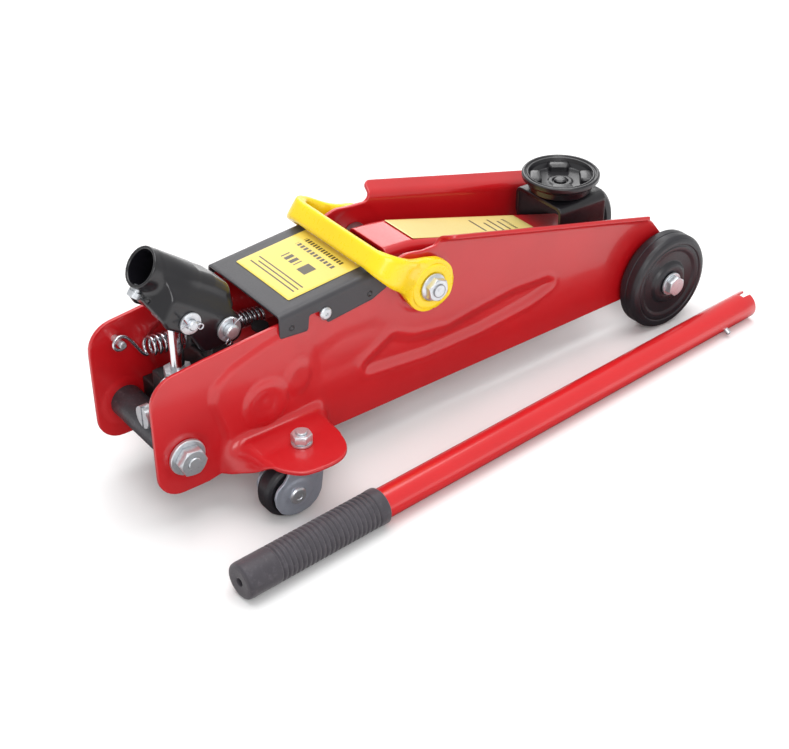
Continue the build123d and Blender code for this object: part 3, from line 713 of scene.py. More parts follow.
def print_bars(x_range, y_range, rows):
    """Dark printed bars over a label whose x and y ranges are given in metres."""
    def add(tree, coords, colour):
        split = tree.nodes.new("ShaderNodeSeparateXYZ")
        tree.links.new(coords, split.inputs[0])
        along = map_range(tree, split.outputs["X"], *x_range, clamp=False)
        across = map_range(tree, split.outputs["Y"], *y_range, clamp=False)
        total = None
        for centre, half, start, end, dashes in rows:
            gap = math_node(tree, "ABSOLUTE", math_node(tree, "SUBTRACT", along, centre))
            bar = math_node(tree, "LESS_THAN", gap, half)
            after = math_node(tree, "GREATER_THAN", across, start)
            before = math_node(tree, "LESS_THAN", across, end)
            bar = math_node(tree, "MULTIPLY", math_node(tree, "MULTIPLY", bar, after), before)
            if dashes:
                wave = math_node(tree, "SINE", math_node(tree, "MULTIPLY", across, dashes))
                bar = math_node(tree, "MULTIPLY", bar,
                                math_node(tree, "GREATER_THAN", wave, -0.45))
            total = bar if total is None else math_node(tree, "MAXIMUM", total, bar)
        return mix_colour(tree, total, colour, srgb(60, 50, 24))
    return add


def label_material(name, colour, *printing):
    return material(name, colour, rough=0.35, coat=0.3, coat_rough=0.15, shade=0.05,
                    shade_scale=24, bump=0.1, grain_scale=500, rough_spread=0.06,
                    printing=print_bars(*printing))


# bars as shares of the label: centre in x, half width in x, start in y, end in y, and the
# dash frequency (0 for a solid bar)
COVER_BARS = [(0.86, 0.030, 0.20, 0.80, 150.0), (0.74, 0.030, 0.20, 0.80, 118.0),
              (0.50, 0.085, 0.30, 0.43, 0.0), (0.50, 0.06, 0.50, 0.72, 80.0),
              (0.26, 0.010, 0.14, 0.86, 0.0), (0.20, 0.010, 0.14, 0.80, 0.0),
              (0.14, 0.010, 0.14, 0.86, 0.0)]
ARM_BARS = [(0.86, 0.012, 0.2, 0.8, 90.0), (0.80, 0.008, 0.2, 0.7, 0.0),
            (0.74, 0.008, 0.2, 0.8, 0.0), (0.68, 0.008, 0.2, 0.64, 0.0),
            (0.60, 0.008, 0.2, 0.8, 0.0)]
COVER_LABEL_X = (-341.5, -281.5)
cover_low, cover_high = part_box("cover_label")
arm_low, arm_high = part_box("arm_label")
COVER_LABEL = label_material("yellow_label_cover", srgb(228, 202, 84),
                             [float(x * MM + ORIGIN[0]) for x in COVER_LABEL_X],
                             (cover_low.y, cover_high.y), COVER_BARS)
ARM_LABEL = label_material("yellow_label_arm", srgb(222, 202, 122), (arm_low.x, arm_high.x),
                           (arm_low.y, arm_high.y), ARM_BARS)

# ------------------------------------------------------------- side plates
# Flat coordinates: x, and height measured along the sheet.
PLATE_THICK = 3.0
PLATE_Y = 41.0              # mid-sheet of the upright wall
FOLD_Z = 58.5               # the foot over each caster starts to fold outward here
FOLD_RUN = 14.137           # sheet length of that fold

# outline of the folded foot, a smooth curve through (x, height)
FOOT_CURVE = [(-412.0, 27.7), (-405.5, 30.0), (-399.0, 28.4), (-393.0, 18.0), (-387.0, 5.0),
              (-378.5, -4.0), (-366.0, -6.9), (-351.5, -6.5), (-342.0, -1.6), (-336.3, 7.0),
              (-333.4, 18.0), (-331.6, 27.6), (-326.0, 29.4), (-318.0, 27.6)]
# the rest of the plate: x, height[, corner radius]
PLATE_REAR = [(-455.5, 119.5, 20), (-455.5, 27.7, 34), (-418.0, 27.7, 3)]
PLATE_FRONT = [(-318.0, 27.5), (15.0, 27.5, 14), (14.0, 64.0, 16), (-6.0, 89.0, 4),
               (-15.5, 95.8, 2), (-18.0, 107.8, 3.5), (-215.5, 159.0, 8), (-220.3, 148.0, 4),
               (-223.5, 142.6, 5), (-236.0, 142.9, 6), (-251.0, 145.2, 14),
               (-272.0, 139.8, 30), (-355.0, 128.3, 60), (-413.5, 124.0, 30)]

# fold line of the lip along the upper front edge, rear end to front end
LIP_START = np.array([-219.0, 146.3])
LIP_DIR = np.array([-12.0, 93.2]) - LIP_START
LIP_DIR = LIP_DIR / np.linalg.norm(LIP_DIR)
LIP_UP = np.array([-LIP_DIR[1], LIP_DIR[0]])
LIP_RUN = 6.0
LIP_ANGLE = math.radians(66)

# embossed areas: x, height, corner radius
RAISED_PANEL = rounded([(-405.5, 8, 2), (-403.5, 60, 12), (-411.5, 88, 10), (-409.0, 101, 8),
                        (-396.0, 110, 8), (-372.0, 117.5, 20), (-345.0, 122.5, 10),
                        (-330.0, 113.0, 6), (-326.5, 75, 20), (-322.5, 50, 10), (-316, 10, 3)])
SUNK_RIB = rounded([(-296.0, 63.5, 5), (-262.0, 60.0, 20), (-232.0, 57.0, 60),
                    (-181.0, 58.0, 60), (-132.0, 63.2, 30), (-108.0, 70.5, 5),
                    (-116.0, 76.0, 8), (-150.0, 77.5, 40), (-192.0, 72.5, 40),
                    (-214.0, 69.0, 30), (-245.0, 74.0, 15), (-262.0, 83.0, 6),
                    (-272.0, 77.0, 8)])
SUNK_POCKET = rounded([(-330.0, 71.0, 8), (-300.0, 70.0, 10), (-275.0, 78.0, 14),
                       (-262.0, 92.0, 10), (-276.0, 103.0, 14), (-306.0, 104.0, 16),
                       (-330.0, 96.0, 8)])
# round embosses: height outward, centre, radius of the flat, outer radius, vertical squeeze
DISCS = [(1.5, (-371.0, 73.0), 14.0, 20.0, 1.0), (-0.8, (-371.0, 73.0), 4.0, 12.0, 1.0),
         (1.0, (-344.0, 83.0), 7.0, 12.5, 0.8), (-0.9, REAR_TIE, 15.0, 19.0, 1.0),
         (0.5, MAIN_PIVOT, 21.0, 25.0, 1.0), (-0.5, FRONT_AXLE, 12.0, 16.0, 1.0)]


def plate_outline():
    foot = []
    for i in range(1, len(FOOT_CURVE) - 2):     # Catmull-Rom spline, six points per span
        p0, p1, p2, p3 = (np.array(FOOT_CURVE[j]) for j in (i - 1, i, i + 1, i + 2))
        for q in range(6):
            t = q / 6
            p = 0.5 * (2 * p1 + (p2 - p0) * t + (2 * p0 - 5 * p1 + 4 * p2 - p3) * t * t
                       + (3 * p1 - p0 - 3 * p2 + p3) * t ** 3)
            foot.append((float(p[0]), float(p[1])))
    return rounded(PLATE_REAR + foot + PLATE_FRONT)


def emboss(uv):
    """Outward height of the pressing over the plain sheet."""
    x, v = uv[:, 0], uv[:, 1]
    front = 1 - 0.62 * smooth_step(x, -352, -330)       # the panel flattens to the front
    low_fade = np.maximum(smooth_step(v, 24, 44), smooth_step(-x, 396, 404))
    height = (2.1 * smooth_step(depth_inside(uv, RAISED_PANEL), -3.2 - 1.5 * (1 - front),
                                3.2 + 3.0 * (1 - front))
              * front * np.where(v < 60, low_fade, 1))
    for rise, centre, flat_r, outer_r, squeeze in DISCS:
        r = np.hypot(x - centre[0], (v - centre[1]) * squeeze)
        height += rise * (1 - smooth_step(r, flat_r, outer_r))
    rib = depth_inside(uv, SUNK_RIB)
    height -= 1.9 * smooth_step(rib, -3.5, 5.0)
    height += 0.35 * np.exp(-((rib + 4.2) / 2.2) ** 2)
    height -= 0.5 * smooth_step(depth_inside(uv, SUNK_POCKET), -6, 8)
    # flat along the bottom edge, except over the foot
    height *= np.where((x > -405) & (x <= -322), 1, smooth_step(v, 26.0, 33.0))
    # gentle unevenness of pressed sheet
    return height + 0.10 * np.sin(x / 23.0 + 1.0) * np.sin(v / 17.0 + 0.6)


def plate_surface(side):
    def surface(uv):
        x, v = uv[:, 0], uv[:, 1]
        # the foot folds fully over the caster and fades out to both ends
        fold = (math.radians(90) * smooth_step(x, -409, -390)
                * (1 - smooth_step(x, -334, -319)) + 1e-4)
        k = fold / FOLD_RUN
        run = np.maximum(FOLD_Z - v, 0)
        bent = np.minimum(run, FOLD_RUN)
        y = PLATE_Y + (1 - np.cos(k * bent)) / k + (run - bent) * np.sin(fold)
        z = np.where(v > FOLD_Z, v, FOLD_Z) - np.sin(k * bent) / k - (run - bent) * np.cos(fold)
        wall_normal = np.stack([np.zeros_like(x), np.cos(k * bent), np.sin(k * bent)], 1)
        # lip beyond its fold line
        above = (uv - LIP_START) @ LIP_UP
        along = (uv - LIP_START) @ LIP_DIR
        above = np.where((along > -14) & (v > 70), above, -3)
        run = np.maximum(above + 3.0, 0)
        radius = LIP_RUN / LIP_ANGLE
        bent = np.minimum(run, LIP_RUN)
        angle = bent / radius
        y = y + radius * (1 - np.cos(angle)) + (run - bent) * math.sin(LIP_ANGLE)
        shift = radius * np.sin(angle) + (run - bent) * math.cos(LIP_ANGLE) - run
        lip_normal = np.stack([-np.sin(angle) * LIP_UP[0], np.cos(angle),
                               -np.sin(angle) * LIP_UP[1]], 1)
        normal = np.where((run > 0)[:, None], lip_normal, wall_normal)
        points = np.stack([x + LIP_UP[0] * shift, y, z + LIP_UP[1] * shift], 1)
        points = points + normal * emboss(uv)[:, None]
        points[:, 1] *= side
        return points
    return surface


def side_plates():
    holes = [circle(REAR_TIE, 5.3), circle(FRONT_AXLE, 6.2), circle(MAIN_PIVOT, 7.3),
             circle(COVER_SCREW, 2.7), circle((CASTER_X, 23.35), 4.3)]
    outline = plate_outline()
    for side, tag in SIDES:
        shape = sheet(outline, holes, plate_surface(side), PLATE_THICK, bevel=0.75, grid=2.0,
                      step=1.5)
        make("plate_pressing_" + tag, shape, RED_PAINT, "frame", 50,
             ("side_plate_" + tag,))


side_plates()

# ------------------------------------------------------------ carry handle
CARRY_END = (-279.0, 152.0)     # x, z where the arms' centre lines end
EYE_R = 20.2                    # round end at the main pivot
BAR_HALF = 7.7                  # half width of the crossbar
STRAP_HALF_THICK = 4.1
EDGE_R = 2.6                    # rounding of the section
ARM_Y = 49.25                   # arm centre at the eye
BEND_R = 13.0                   # bend between arm and crossbar
SPLAY = 6.5                     # the arms spread outward by this before the bend
SAG = 1.2                       # and drop by this


def carry_stations():
    """Sections from the right eye round to the left: centre, width axis, half width, run."""
    along = np.array([CARRY_END[0] - MAIN_PIVOT[0], 0, CARRY_END[1] - MAIN_PIVOT[1]])
    length = np.linalg.norm(along)
    along /= length
    across = np.array([along[2], 0, -along[0]])
    corner = length - BEND_R + 0.6
    widths = []                                 # distance from the pivot, half width
    for k in range(19):
        s = -EYE_R * math.cos(k / 18 * math.pi / 2)
        widths.append((s, math.sqrt(max(EYE_R * EYE_R - s * s, 0.0))))
    taper = math.asin((EYE_R - BAR_HALF) / length)
    leave, leave_half = EYE_R * math.sin(taper), EYE_R * math.cos(taper)
    for k in range(1, 6):
        s = leave * k / 5
        widths.append((s, math.sqrt(EYE_R * EYE_R - s * s)))
    tangent_end = length + BAR_HALF * math.sin(taper)
    for k in range(1, 23):
        s = leave + (corner - leave) * k / 22
        straight = leave_half + ((BAR_HALF * math.cos(taper) - leave_half)
                                 * (s - leave) / (tangent_end - leave))
        # concave neck between eye and strap
        widths.append((s, straight - 2.2 * math.sin(math.pi * k / 22) ** 1.3))

    def spread(s):
        return smooth_step(s, 12.0, corner)

    path = []
    for s, half in widths:
        out = SPLAY * spread(s)
        run = along + np.array([0, -(SPLAY * spread(s + 1) - out), 0])
        run /= np.linalg.norm(run)
        centre = (np.array(at(MAIN_PIVOT, -ARM_Y - out)) + along * s
                  - across * SAG * spread(s))
        path.append((centre, across, half, run))
    bend_y = ARM_Y + SPLAY
    corner_half = widths[-1][1]
    for k in range(1, 15):
        a = k / 14 * math.pi / 2
        centre = (np.array(at(MAIN_PIVOT, -bend_y)) + along * (corner + BEND_R * math.sin(a))
                  + np.array([0, BEND_R * (1 - math.cos(a)), 0]) - across * SAG)
        path.append((centre, across, corner_half + (BAR_HALF - corner_half) * k / 14,
                     along * math.cos(a) + np.array([0, math.sin(a), 0])))
    bar_start = -bend_y + BEND_R
    middle = np.array(at(MAIN_PIVOT)) + along * (corner + BEND_R) - across * SAG
    for k in range(1, 19):
        centre = middle + np.array([0, bar_start * (1 - k / 18), 0])
        path.append((centre, across, BAR_HALF, np.array(Y_AXIS, float)))
    mirrored = [(centre * np.array([1, -1, 1]), width_axis, half, run * np.array([-1, 1, -1]))
                for centre, width_axis, half, run in path[:-1][::-1]]
    return path + mirrored


def strap_ring(centre, across, half, run, count):
    """Rounded rectangle, flattening where the strap is narrower than its edges."""
    normal = np.cross(run, across)
    normal /= np.linalg.norm(normal)
    half = max(half, 0.02)
    thick = STRAP_HALF_THICK
    if half <= EDGE_R:
        thick *= math.sqrt(max(1e-3, 1 - ((EDGE_R - half) / EDGE_R) ** 2))
    radius = min(EDGE_R, half, thick)
    ring = []
    for q in range(count):
        a = 2 * math.pi * q / count
        ca, sa = math.cos(a), math.sin(a)
        if abs(ca) * thick > abs(sa) * half:
            t = abs(sa) * half / (abs(ca) * thick)
            x, y = half * np.sign(ca), thick * t * np.sign(sa)
        else:
            t = abs(ca) * thick / (abs(sa) * half)
            x, y = half * t * np.sign(ca), thick * np.sign(sa)
        over_x, over_y = abs(x) - (half - radius), abs(y) - (thick - radius)
        if over_x > 0 and over_y > 0:
            dist = math.hypot(over_x, over_y)
            x = np.sign(x) * (half - radius + over_x / dist * radius)
            y = np.sign(y) * (thick - radius + over_y / dist * radius)
        ring.append(centre + across * x + normal * y)
    return ring


def carry_handle():
    count = 40
    stations = carry_stations()
    verts = []
    for station in stations:
        verts += strap_ring(*station, count)
    ob = make("carry_yoke", (verts, ring_faces(len(stations), count)), angle=180, merge=0.002)
    bore = [(0, -60), (7.15, -60), (7.15, 60), (0, 60)]
    cutter = make("tmp_bore", turned(bore, at(MAIN_PIVOT), Y_AXIS, 64), angle=30, merge=0.001)
    cut = ob.modifiers.new("b", "BOOLEAN")
    cut.operation = "DIFFERENCE"
    cut.solver = "EXACT"
    cut.object = cutter
    bake(ob)
    bpy.data.objects.remove(cutter)
    finish_mesh(ob, YELLOW, 50)
    enrol(ob, ("carry_handle",), "carry_handle")
    # raised rim round each eye
    rim = [(10.9, 0, 0.2), (17.2, 0, 0.2), (16.6, 0.75, 0.5), (15.4, 0.95, 0.5),
           (11.6, 0.95, 0.4), (10.9, 0.5, 0.2)]
    for side, tag in SIDES:
        lathe("yoke_eye_rim_" + tag, rim, at(MAIN_PIVOT, side * 53.3), (0, side, 0), YELLOW,
              "carry_handle")


carry_handle()


# ------------------------------------------ cover over the power unit, labels
def label(name, node, top, x0, x1, half_y, mat, body):
    outline = rounded([(x0, -half_y, 1.2), (x1, -half_y, 1.2), (x1, half_y, 1.2),
                       (x0, half_y, 1.2)])
    shape = sheet(outline, [], lambda uv: np.stack([uv[:, 0], uv[:, 1], top(uv)], 1), 0.22,
                  bevel=0.08, grid=3.0, step=2.0, rim=2)
    make(name, shape, mat, body, 50, (node,))


COVER_THICK = 1.7
COVER_REAR_X, COVER_REAR_Z = -357.0, 135.5
COVER_SLOPE = (143.3 - COVER_REAR_Z) / 90.0
DIMPLES = [(-347.5, 123.9), (-283.2, 126.7)]    # x, z in each flap
# one flap's edge from the rear: x, z, corner radius
FLAP = [(-357.0, 118.5, 2.0), (-334.5, 116.7, 2.0), (-333.2, 128.5, 2.0), (-324.5, 128.3, 2.5),
        (-320.2, 122.6, 1.5), (-318.6, 117.0, 2.0), (-281.0, 121.4, 3.0), (-267.0, 127.5, 1.5)]


def cover_face(x):
    return COVER_REAR_Z + COVER_SLOPE * (x - COVER_REAR_X)


def cover_crown(v):
    return 0.25 * np.cos(np.clip(v / 38.0, -1, 1) * math.pi / 2)


def cover():
    channel = Channel(lambda x: cover_face(x) - COVER_THICK / 2, 44.6 - COVER_THICK / 2, 2.2)

    def surface(uv):
        points = channel.surface(uv)
        for x, z in DIMPLES:
            r = np.hypot(uv[:, 0] - x, np.abs(uv[:, 1]) - channel.wall(x, z))
            points[:, 1] -= np.sign(uv[:, 1]) * 0.25 * (1 - smooth_step(r, 0.9, 2.3))
        points[:, 2] += cover_crown(uv[:, 1])
        return points

    shape = sheet(channel.outline(FLAP, first=-1), [], surface, COVER_THICK, bevel=0.45,
                  grid=2.2, step=1.2)
    make("cover_pressing", shape, BLACK_SHEET, "frame", 50, ("cover_plate",))
    label("cover_sticker", "cover_label",
          lambda uv: cover_face(uv[:, 0]) + 0.30 + cover_crown(uv[:, 1]),
          *COVER_LABEL_X, 32.5, COVER_LABEL, "frame")


cover()

# ---------------------------------------------------------------- lift arm
ARM_THICK = 3.0
ARM_LENGTH = math.hypot(BRACKET_PIVOT[0] - MAIN_PIVOT[0], BRACKET_PIVOT[1] - MAIN_PIVOT[1])
ARM_DIR = ((BRACKET_PIVOT[0] - MAIN_PIVOT[0]) / ARM_LENGTH,
           (BRACKET_PIVOT[1] - MAIN_PIVOT[1]) / ARM_LENGTH)


def arm_point(s, rise):
    """(x, z) at s along the line between the arm's pivots and rise above it."""
    return (MAIN_PIVOT[0] + s * ARM_DIR[0] - rise * ARM_DIR[1],
            MAIN_PIVOT[1] + s * ARM_DIR[1] + rise * ARM_DIR[0])


ARM_FACE_RISE = 20.3
ARM_REAR = (-252.5, 139.6)                      # rear end of the top face
ARM_KNEE = arm_point(3.0, ARM_FACE_RISE)        # where the rear facet meets the long face
ARM_FRONT = arm_point(ARM_LENGTH + 9.0, ARM_FACE_RISE)
ARM_SLOPE = (ARM_FRONT[1] - ARM_KNEE[1]) / (ARM_FRONT[0] - ARM_KNEE[0])
# one wall's edge from the front: x, z, corner radius
ARM_WALL = [arm_point(ARM_LENGTH + 9.5, 18.0) + (9.0,), arm_point(ARM_LENGTH + 12.5, 0.0) + (8.0,),
            arm_point(ARM_LENGTH + 4.0, -12.0) + (8.0,), arm_point(46.0, -15.0) + (20.0,),
            (-230.0, 90.0, 14.0), (-252.5, 69.5, 9.0), (-268.0, 69.5, 9.5), (-277.0, 82.0, 9.5),
            (-253.5, 108.0, 12.0), (-252.5, 136.0, 1.0)]


def arm_top(x):
    """Mid-surface: the lower of the two facets, blended at the knee."""
    rear_slope = (ARM_KNEE[1] - ARM_REAR[1]) / (ARM_KNEE[0] - ARM_REAR[0])
    rear = ARM_KNEE[1] + rear_slope * (x - ARM_KNEE[0])
    front = ARM_KNEE[1] + ARM_SLOPE * (x - ARM_KNEE[0])
    blend = 1.2
    top = -np.logaddexp(-rear / blend, -front / blend) * blend
    return top - ARM_THICK / 2 / abs(math.cos(math.atan(ARM_SLOPE)))


def lift_arm():
    channel = Channel(arm_top, 22.0 - ARM_THICK / 2, 3.4)
    holes = [np.array([(x, s * channel.wall(x, z)) for x, z in circle(centre, radius)])
             for centre, radius in ((MAIN_PIVOT, 7.3), (BRACKET_PIVOT, 6.3), (ARM_REAR_HOLE, 5.3))
             for s in (1, -1)]
    shape = sheet(channel.outline(ARM_WALL), holes, channel.surface, ARM_THICK, bevel=0.7,
                  grid=2.4, step=1.5)
    make("lift_arm_channel", shape, RED_PAINT, "lift_arm", 50, ("lift_arm",))
    label("arm_sticker", "arm_label",
          lambda uv: ARM_KNEE[1] + ARM_SLOPE * (uv[:, 0] - ARM_KNEE[0]) + 0.16,
          arm_point(4.0, ARM_FACE_RISE)[0] + 1.5, arm_point(136.0, ARM_FACE_RISE)[0], 17.0,
          ARM_LABEL, "lift_arm")


lift_arm()

# ---------------------------------------------------------- saddle bracket
BRACKET_THICK = 3.3
BRACKET_TOP = 119.8
# one wall's edge from the front: x, z, corner radius
BRACKET_WALL = [(-43.4, 113.0, 4.0), (-43.0, 62.0, 10.0), (-50.0, 30.5, 8.0),
                (-66.0, 30.5, 8.0), (-80.0, 62.0, 12.0), (-90.0, 100.0, 6.0),
                (-90.0, 113.0, 4.0)]


def saddle_bracket():
    channel = Channel(lambda x: BRACKET_TOP - BRACKET_THICK / 2, 24.3, 4.2)
    holes = ([circle((SADDLE_X, 0.0), 9.3)] + channel.holes(BRACKET_PIVOT, 6.3)
             + channel.holes(ROD_FRONT_PIN, 4.3))
    shape = sheet(channel.outline(BRACKET_WALL), holes, channel.surface, BRACKET_THICK,
                  bevel=0.7, grid=2.4, step=1.5)
    make("saddle_yoke", shape, BLACK_GLOSS, "saddle_bracket", 50,
         ("saddle_bracket",))


saddle_bracket()

# ------------------------------------------------------------------ saddle
# radius, z[, corner radius]
SADDLE_CUP = [(3.1, 120.1), (20.0, 120.1, 1.0), (24.2, 122.0, 2.0), (26.0, 127.8, 2.0),
              (28.4, 129.6, 1.0), (30.0, 131.2, 0.8), (30.0, 134.2, 0.7), (29.0, 135.1, 0.6),
              (27.9, 135.1, 0.5), (27.2, 133.9, 0.5), (26.5, 133.7, 0.4), (25.7, 134.6, 0.5),
              (24.8, 134.5, 0.5), (23.8, 131.2, 1.2), (21.6, 127.9, 1.5), (10.0, 126.8, 0.8),
              (8.6, 127.6, 0.4), (6.4, 127.6, 0.4), (5.4, 126.1, 0.3), (3.1, 126.1)]
SADDLE_STEM = [(3.1, 106.2), (8.4, 106.2, 0.6), (9.0, 107.0, 0.4), (9.0, 120.2), (3.1, 120.2)]
PAD_LEVELS = [(0.0, 126.6), (0.0, 130.6), (0.35, 131.7), (1.1, 132.4), (2.0, 132.6)]  # inset, z
PAD_HALF_R, PAD_HALF_T = 4.9, 8.2       # half sizes, radial and tangential
PAD_CENTRE_R = 19.6


def saddle_pad(angle):
    c, s = math.cos(angle), math.sin(angle)
    radial, tangent = np.array([c, s, 0]), np.array([-s, c, 0])
    count = 48
    verts = []
    for inset, z in PAD_LEVELS:
        half_r, half_t = PAD_HALF_R - inset, PAD_HALF_T - inset
        r = max(3.2 - inset, 0.8)
        for k in range(count):
            a = 2 * math.pi * k / count
            x = (half_r - r) * np.sign(round(math.cos(a), 5)) + r * math.cos(a)
            y = (half_t - r) * np.sign(round(math.sin(a), 5)) + r * math.sin(a)
            bow = 0.04 * (-(y ** 2) / 8)
            verts.append(np.array([SADDLE_X, 0, z]) + radial * (PAD_CENTRE_R + x + bow)
                         + tangent * y)
    return verts, ring_faces(len(PAD_LEVELS), count)


def saddle():
    centre = (SADDLE_X, 0, 0)
    shape = join(turned(rounded(SADDLE_CUP), centre, Z_AXIS, 144),
                 turned(rounded(SADDLE_STEM), centre, Z_AXIS, 72))
    make("saddle_cup", shape, BLACK_GLOSS, "saddle", 40, ("saddle",),
         merge=0.0005)
    for k in range(4):
        make("saddle_pad_%d" % (k + 1), saddle_pad(math.radians(52 + 90 * k)), BLACK_GLOSS,
             "saddle", 40)
    screw = [(0, 112.0), (3.0, 112.0, 0.3), (3.0, 126.2), (4.9, 126.25, 0.2),
             (4.9, 128.2, 0.5), (3.6, 129.0, 0.5), (0, 129.0)]
    lathe("saddle_screw", screw, centre, Z_AXIS, BLACK_GLOSS, "saddle", 64,
          ("saddle_screw_and_ring",))
    ring = [(9.1, 112.5, 0.3), (12.0, 112.5, 0.4), (12.0, 114.5, 0.4), (9.1, 114.5, 0.3)]
    lathe("saddle_keeper_ring", ring, centre, Z_AXIS, STEEL, "saddle", 72)


saddle()

# ------------------------------------------------ wheels and their fasteners
WHEEL_IN, WHEEL_OUT = 43.2, 62.2        # y of the wheel's inner and outer faces
# radius, distance out from the middle[, corner radius]
WHEEL = [(6.2, WHEEL_IN + 0.1, 0.4), (15.6, WHEEL_IN, 0.8), (16.4, WHEEL_IN + 2.4, 0.8),
         (29.6, WHEEL_IN + 2.4, 0.9), (31.6, WHEEL_IN + 0.3, 1.2), (37.0, WHEEL_IN + 0.4, 1.6),
         (40.0, WHEEL_IN + 3.6, 2.2), (40.0, WHEEL_IN + 8.9, 0.3), (39.55, WHEEL_IN + 9.2),
         (39.55, WHEEL_IN + 9.8), (40.0, WHEEL_IN + 10.1, 0.3), (40.0, WHEEL_OUT - 3.8, 2.4),
         (38.2, WHEEL_OUT - 0.9, 1.6), (35.6, WHEEL_OUT, 0.8), (33.6, WHEEL_OUT - 0.1, 0.5),
         (32.9, WHEEL_OUT - 0.9, 0.3), (32.0, WHEEL_OUT - 0.9, 0.3),
         (31.2, WHEEL_OUT - 0.4, 0.6), (28.6, WHEEL_OUT - 0.9, 1.4),
         (26.4, WHEEL_OUT - 2.4, 1.6), (18.2, WHEEL_OUT - 2.9, 1.2),
         (16.2, WHEEL_OUT - 0.6, 0.8), (14.4, WHEEL_OUT + 0.15, 0.7),
         (11.4, WHEEL_OUT + 0.2, 0.5), (10.4, WHEEL_OUT - 0.2, 0.3), (6.2, WHEEL_OUT - 0.2, 0.3)]
ROLLER = [(3.1, -7.9), (8.0, -8.0, 0.5), (9.2, -6.9, 0.6), (15.8, -6.8, 0.6), (17.4, -7.7, 0.8),
          (19.6, -6.4, 1.2), (21.0, -3.8, 1.6), (21.0, 3.8, 1.6), (19.6, 6.4, 1.2),
          (17.4, 7.7, 0.8), (15.8, 6.8, 0.6), (9.2, 6.9, 0.6), (8.0, 8.0, 0.5), (3.1, 7.9)]
FORK_THICK = 2.3
FORK_TOP = 46.8 - FORK_THICK / 2
# one cheek's edge from the front, x from the swivel axis: x, z, corner radius
FORK_CHEEK = [(9.2, 41.0, 3), (8.7, 30.0, 14), (7.0, 16.5, 10), (3.2, 9.8, 8), (-3.5, 5.2, 8),
              (-12.5, 3.9, 12), (-20.0, 5.8, 10), (-26.2, 9.8, 8), (-29.4, 16.5, 8),
              (-30.4, 24.0, 8), (-28.2, 30.2, 7), (-22.8, 34.2, 6), (-19.4, 38.5, 6),
              (-18.6, 42.0, 3)]
RIVET = [(0, 0), (6.4, 0, 0.2), (6.4, 1.0, 0.7), (5.2, 2.1, 1.0), (2.6, 2.5, 0.8),
         (2.2, 1.9, 0.3), (0, 1.8)]


def wheels(side, tag):
    lathe("road_wheel_" + tag, WHEEL, at(FRONT_AXLE), (0, side, 0), WHEEL_BLACK,
          "front_wheel_" + tag, 160, ("front_wheel_" + tag,), angle=32)
    centre = (CASTER_X - CASTER_TRAIL, side * CASTER_Y, CASTER_AXLE_Z)
    lathe("caster_roller_" + tag, ROLLER, centre, Y_AXIS, WHEEL_BLACK, "caster_wheel_" + tag,
          128, ("caster_wheel_" + tag,), angle=32)


def caster_fork(side, tag):
    """One bent zinc sheet with tear-drop cheeks, its rivets and axle."""
    body = "caster_fork_" + tag
    axle_x, y = CASTER_X - CASTER_TRAIL, side * CASTER_Y
    channel = Channel(lambda x: FORK_TOP, 12.0 - FORK_THICK / 2, 2.9)

    def surface(uv):
        # each cheek is pressed outward round the axle
        points = channel.surface(uv)
        run = np.abs(uv[:, 1])
        r = np.hypot(uv[:, 0] + CASTER_TRAIL, run - channel.wall(0, CASTER_AXLE_Z))
        rise = 0.9 * (1 - smooth_step(r, 9.5, 13.0))
        points[:, 1] += np.sign(uv[:, 1]) * np.where(run > channel.half, rise, 0)
        return points + np.array([CASTER_X, y, 0])

    holes = [circle((0, 0), 4.3)] + channel.holes((-CASTER_TRAIL, CASTER_AXLE_Z), 3.2, 28)
    shape = sheet(channel.outline(FORK_CHEEK), holes, surface, FORK_THICK, bevel=0.5, grid=1.6,
                  step=1.0)
    make("caster_fork_sheet_" + tag, shape, ZINC_PRESSED, body, 50, (body,))
    for s in (1, -1):
        zinc_lathe("caster_rivet_%s_%s" % (tag, "out" if s * side > 0 else "in"), RIVET,
                   (axle_x, y + s * 12.9, CASTER_AXLE_Z), (0, s, 0), 64, body)
    lathe("caster_axle_" + tag, [(0, -13.2), (3.0, -13.2), (3.0, 13.2), (0, 13.2)],
          (axle_x, y, CASTER_AXLE_Z), Y_AXIS, STEEL, body, 40)


def split_washer(y):
    """Spring washer, cut through and slightly twisted."""
    steps = 72
    verts, faces = [], []
    for k in range(steps + 1):
        a = math.radians(8 + 350 * k / steps)
        twist = 0.35 * (k / steps - 0.5)
        for r, z in ((4.3, 51.15), (7.4, 51.15), (7.4, 52.75), (4.3, 52.75)):
            verts.append((CASTER_X + r * math.cos(a), y + r * math.sin(a), z + twist + 0.1))
    for k in range(steps):
        for i in range(4):
            j = (i + 1) % 4
            faces.append((k * 4 + i, k * 4 + j, k * 4 + 4 + j, k * 4 + 4 + i))
    last = steps * 4
    return verts, faces + [(3, 2, 1, 0), (last, last + 1, last + 2, last + 3)]


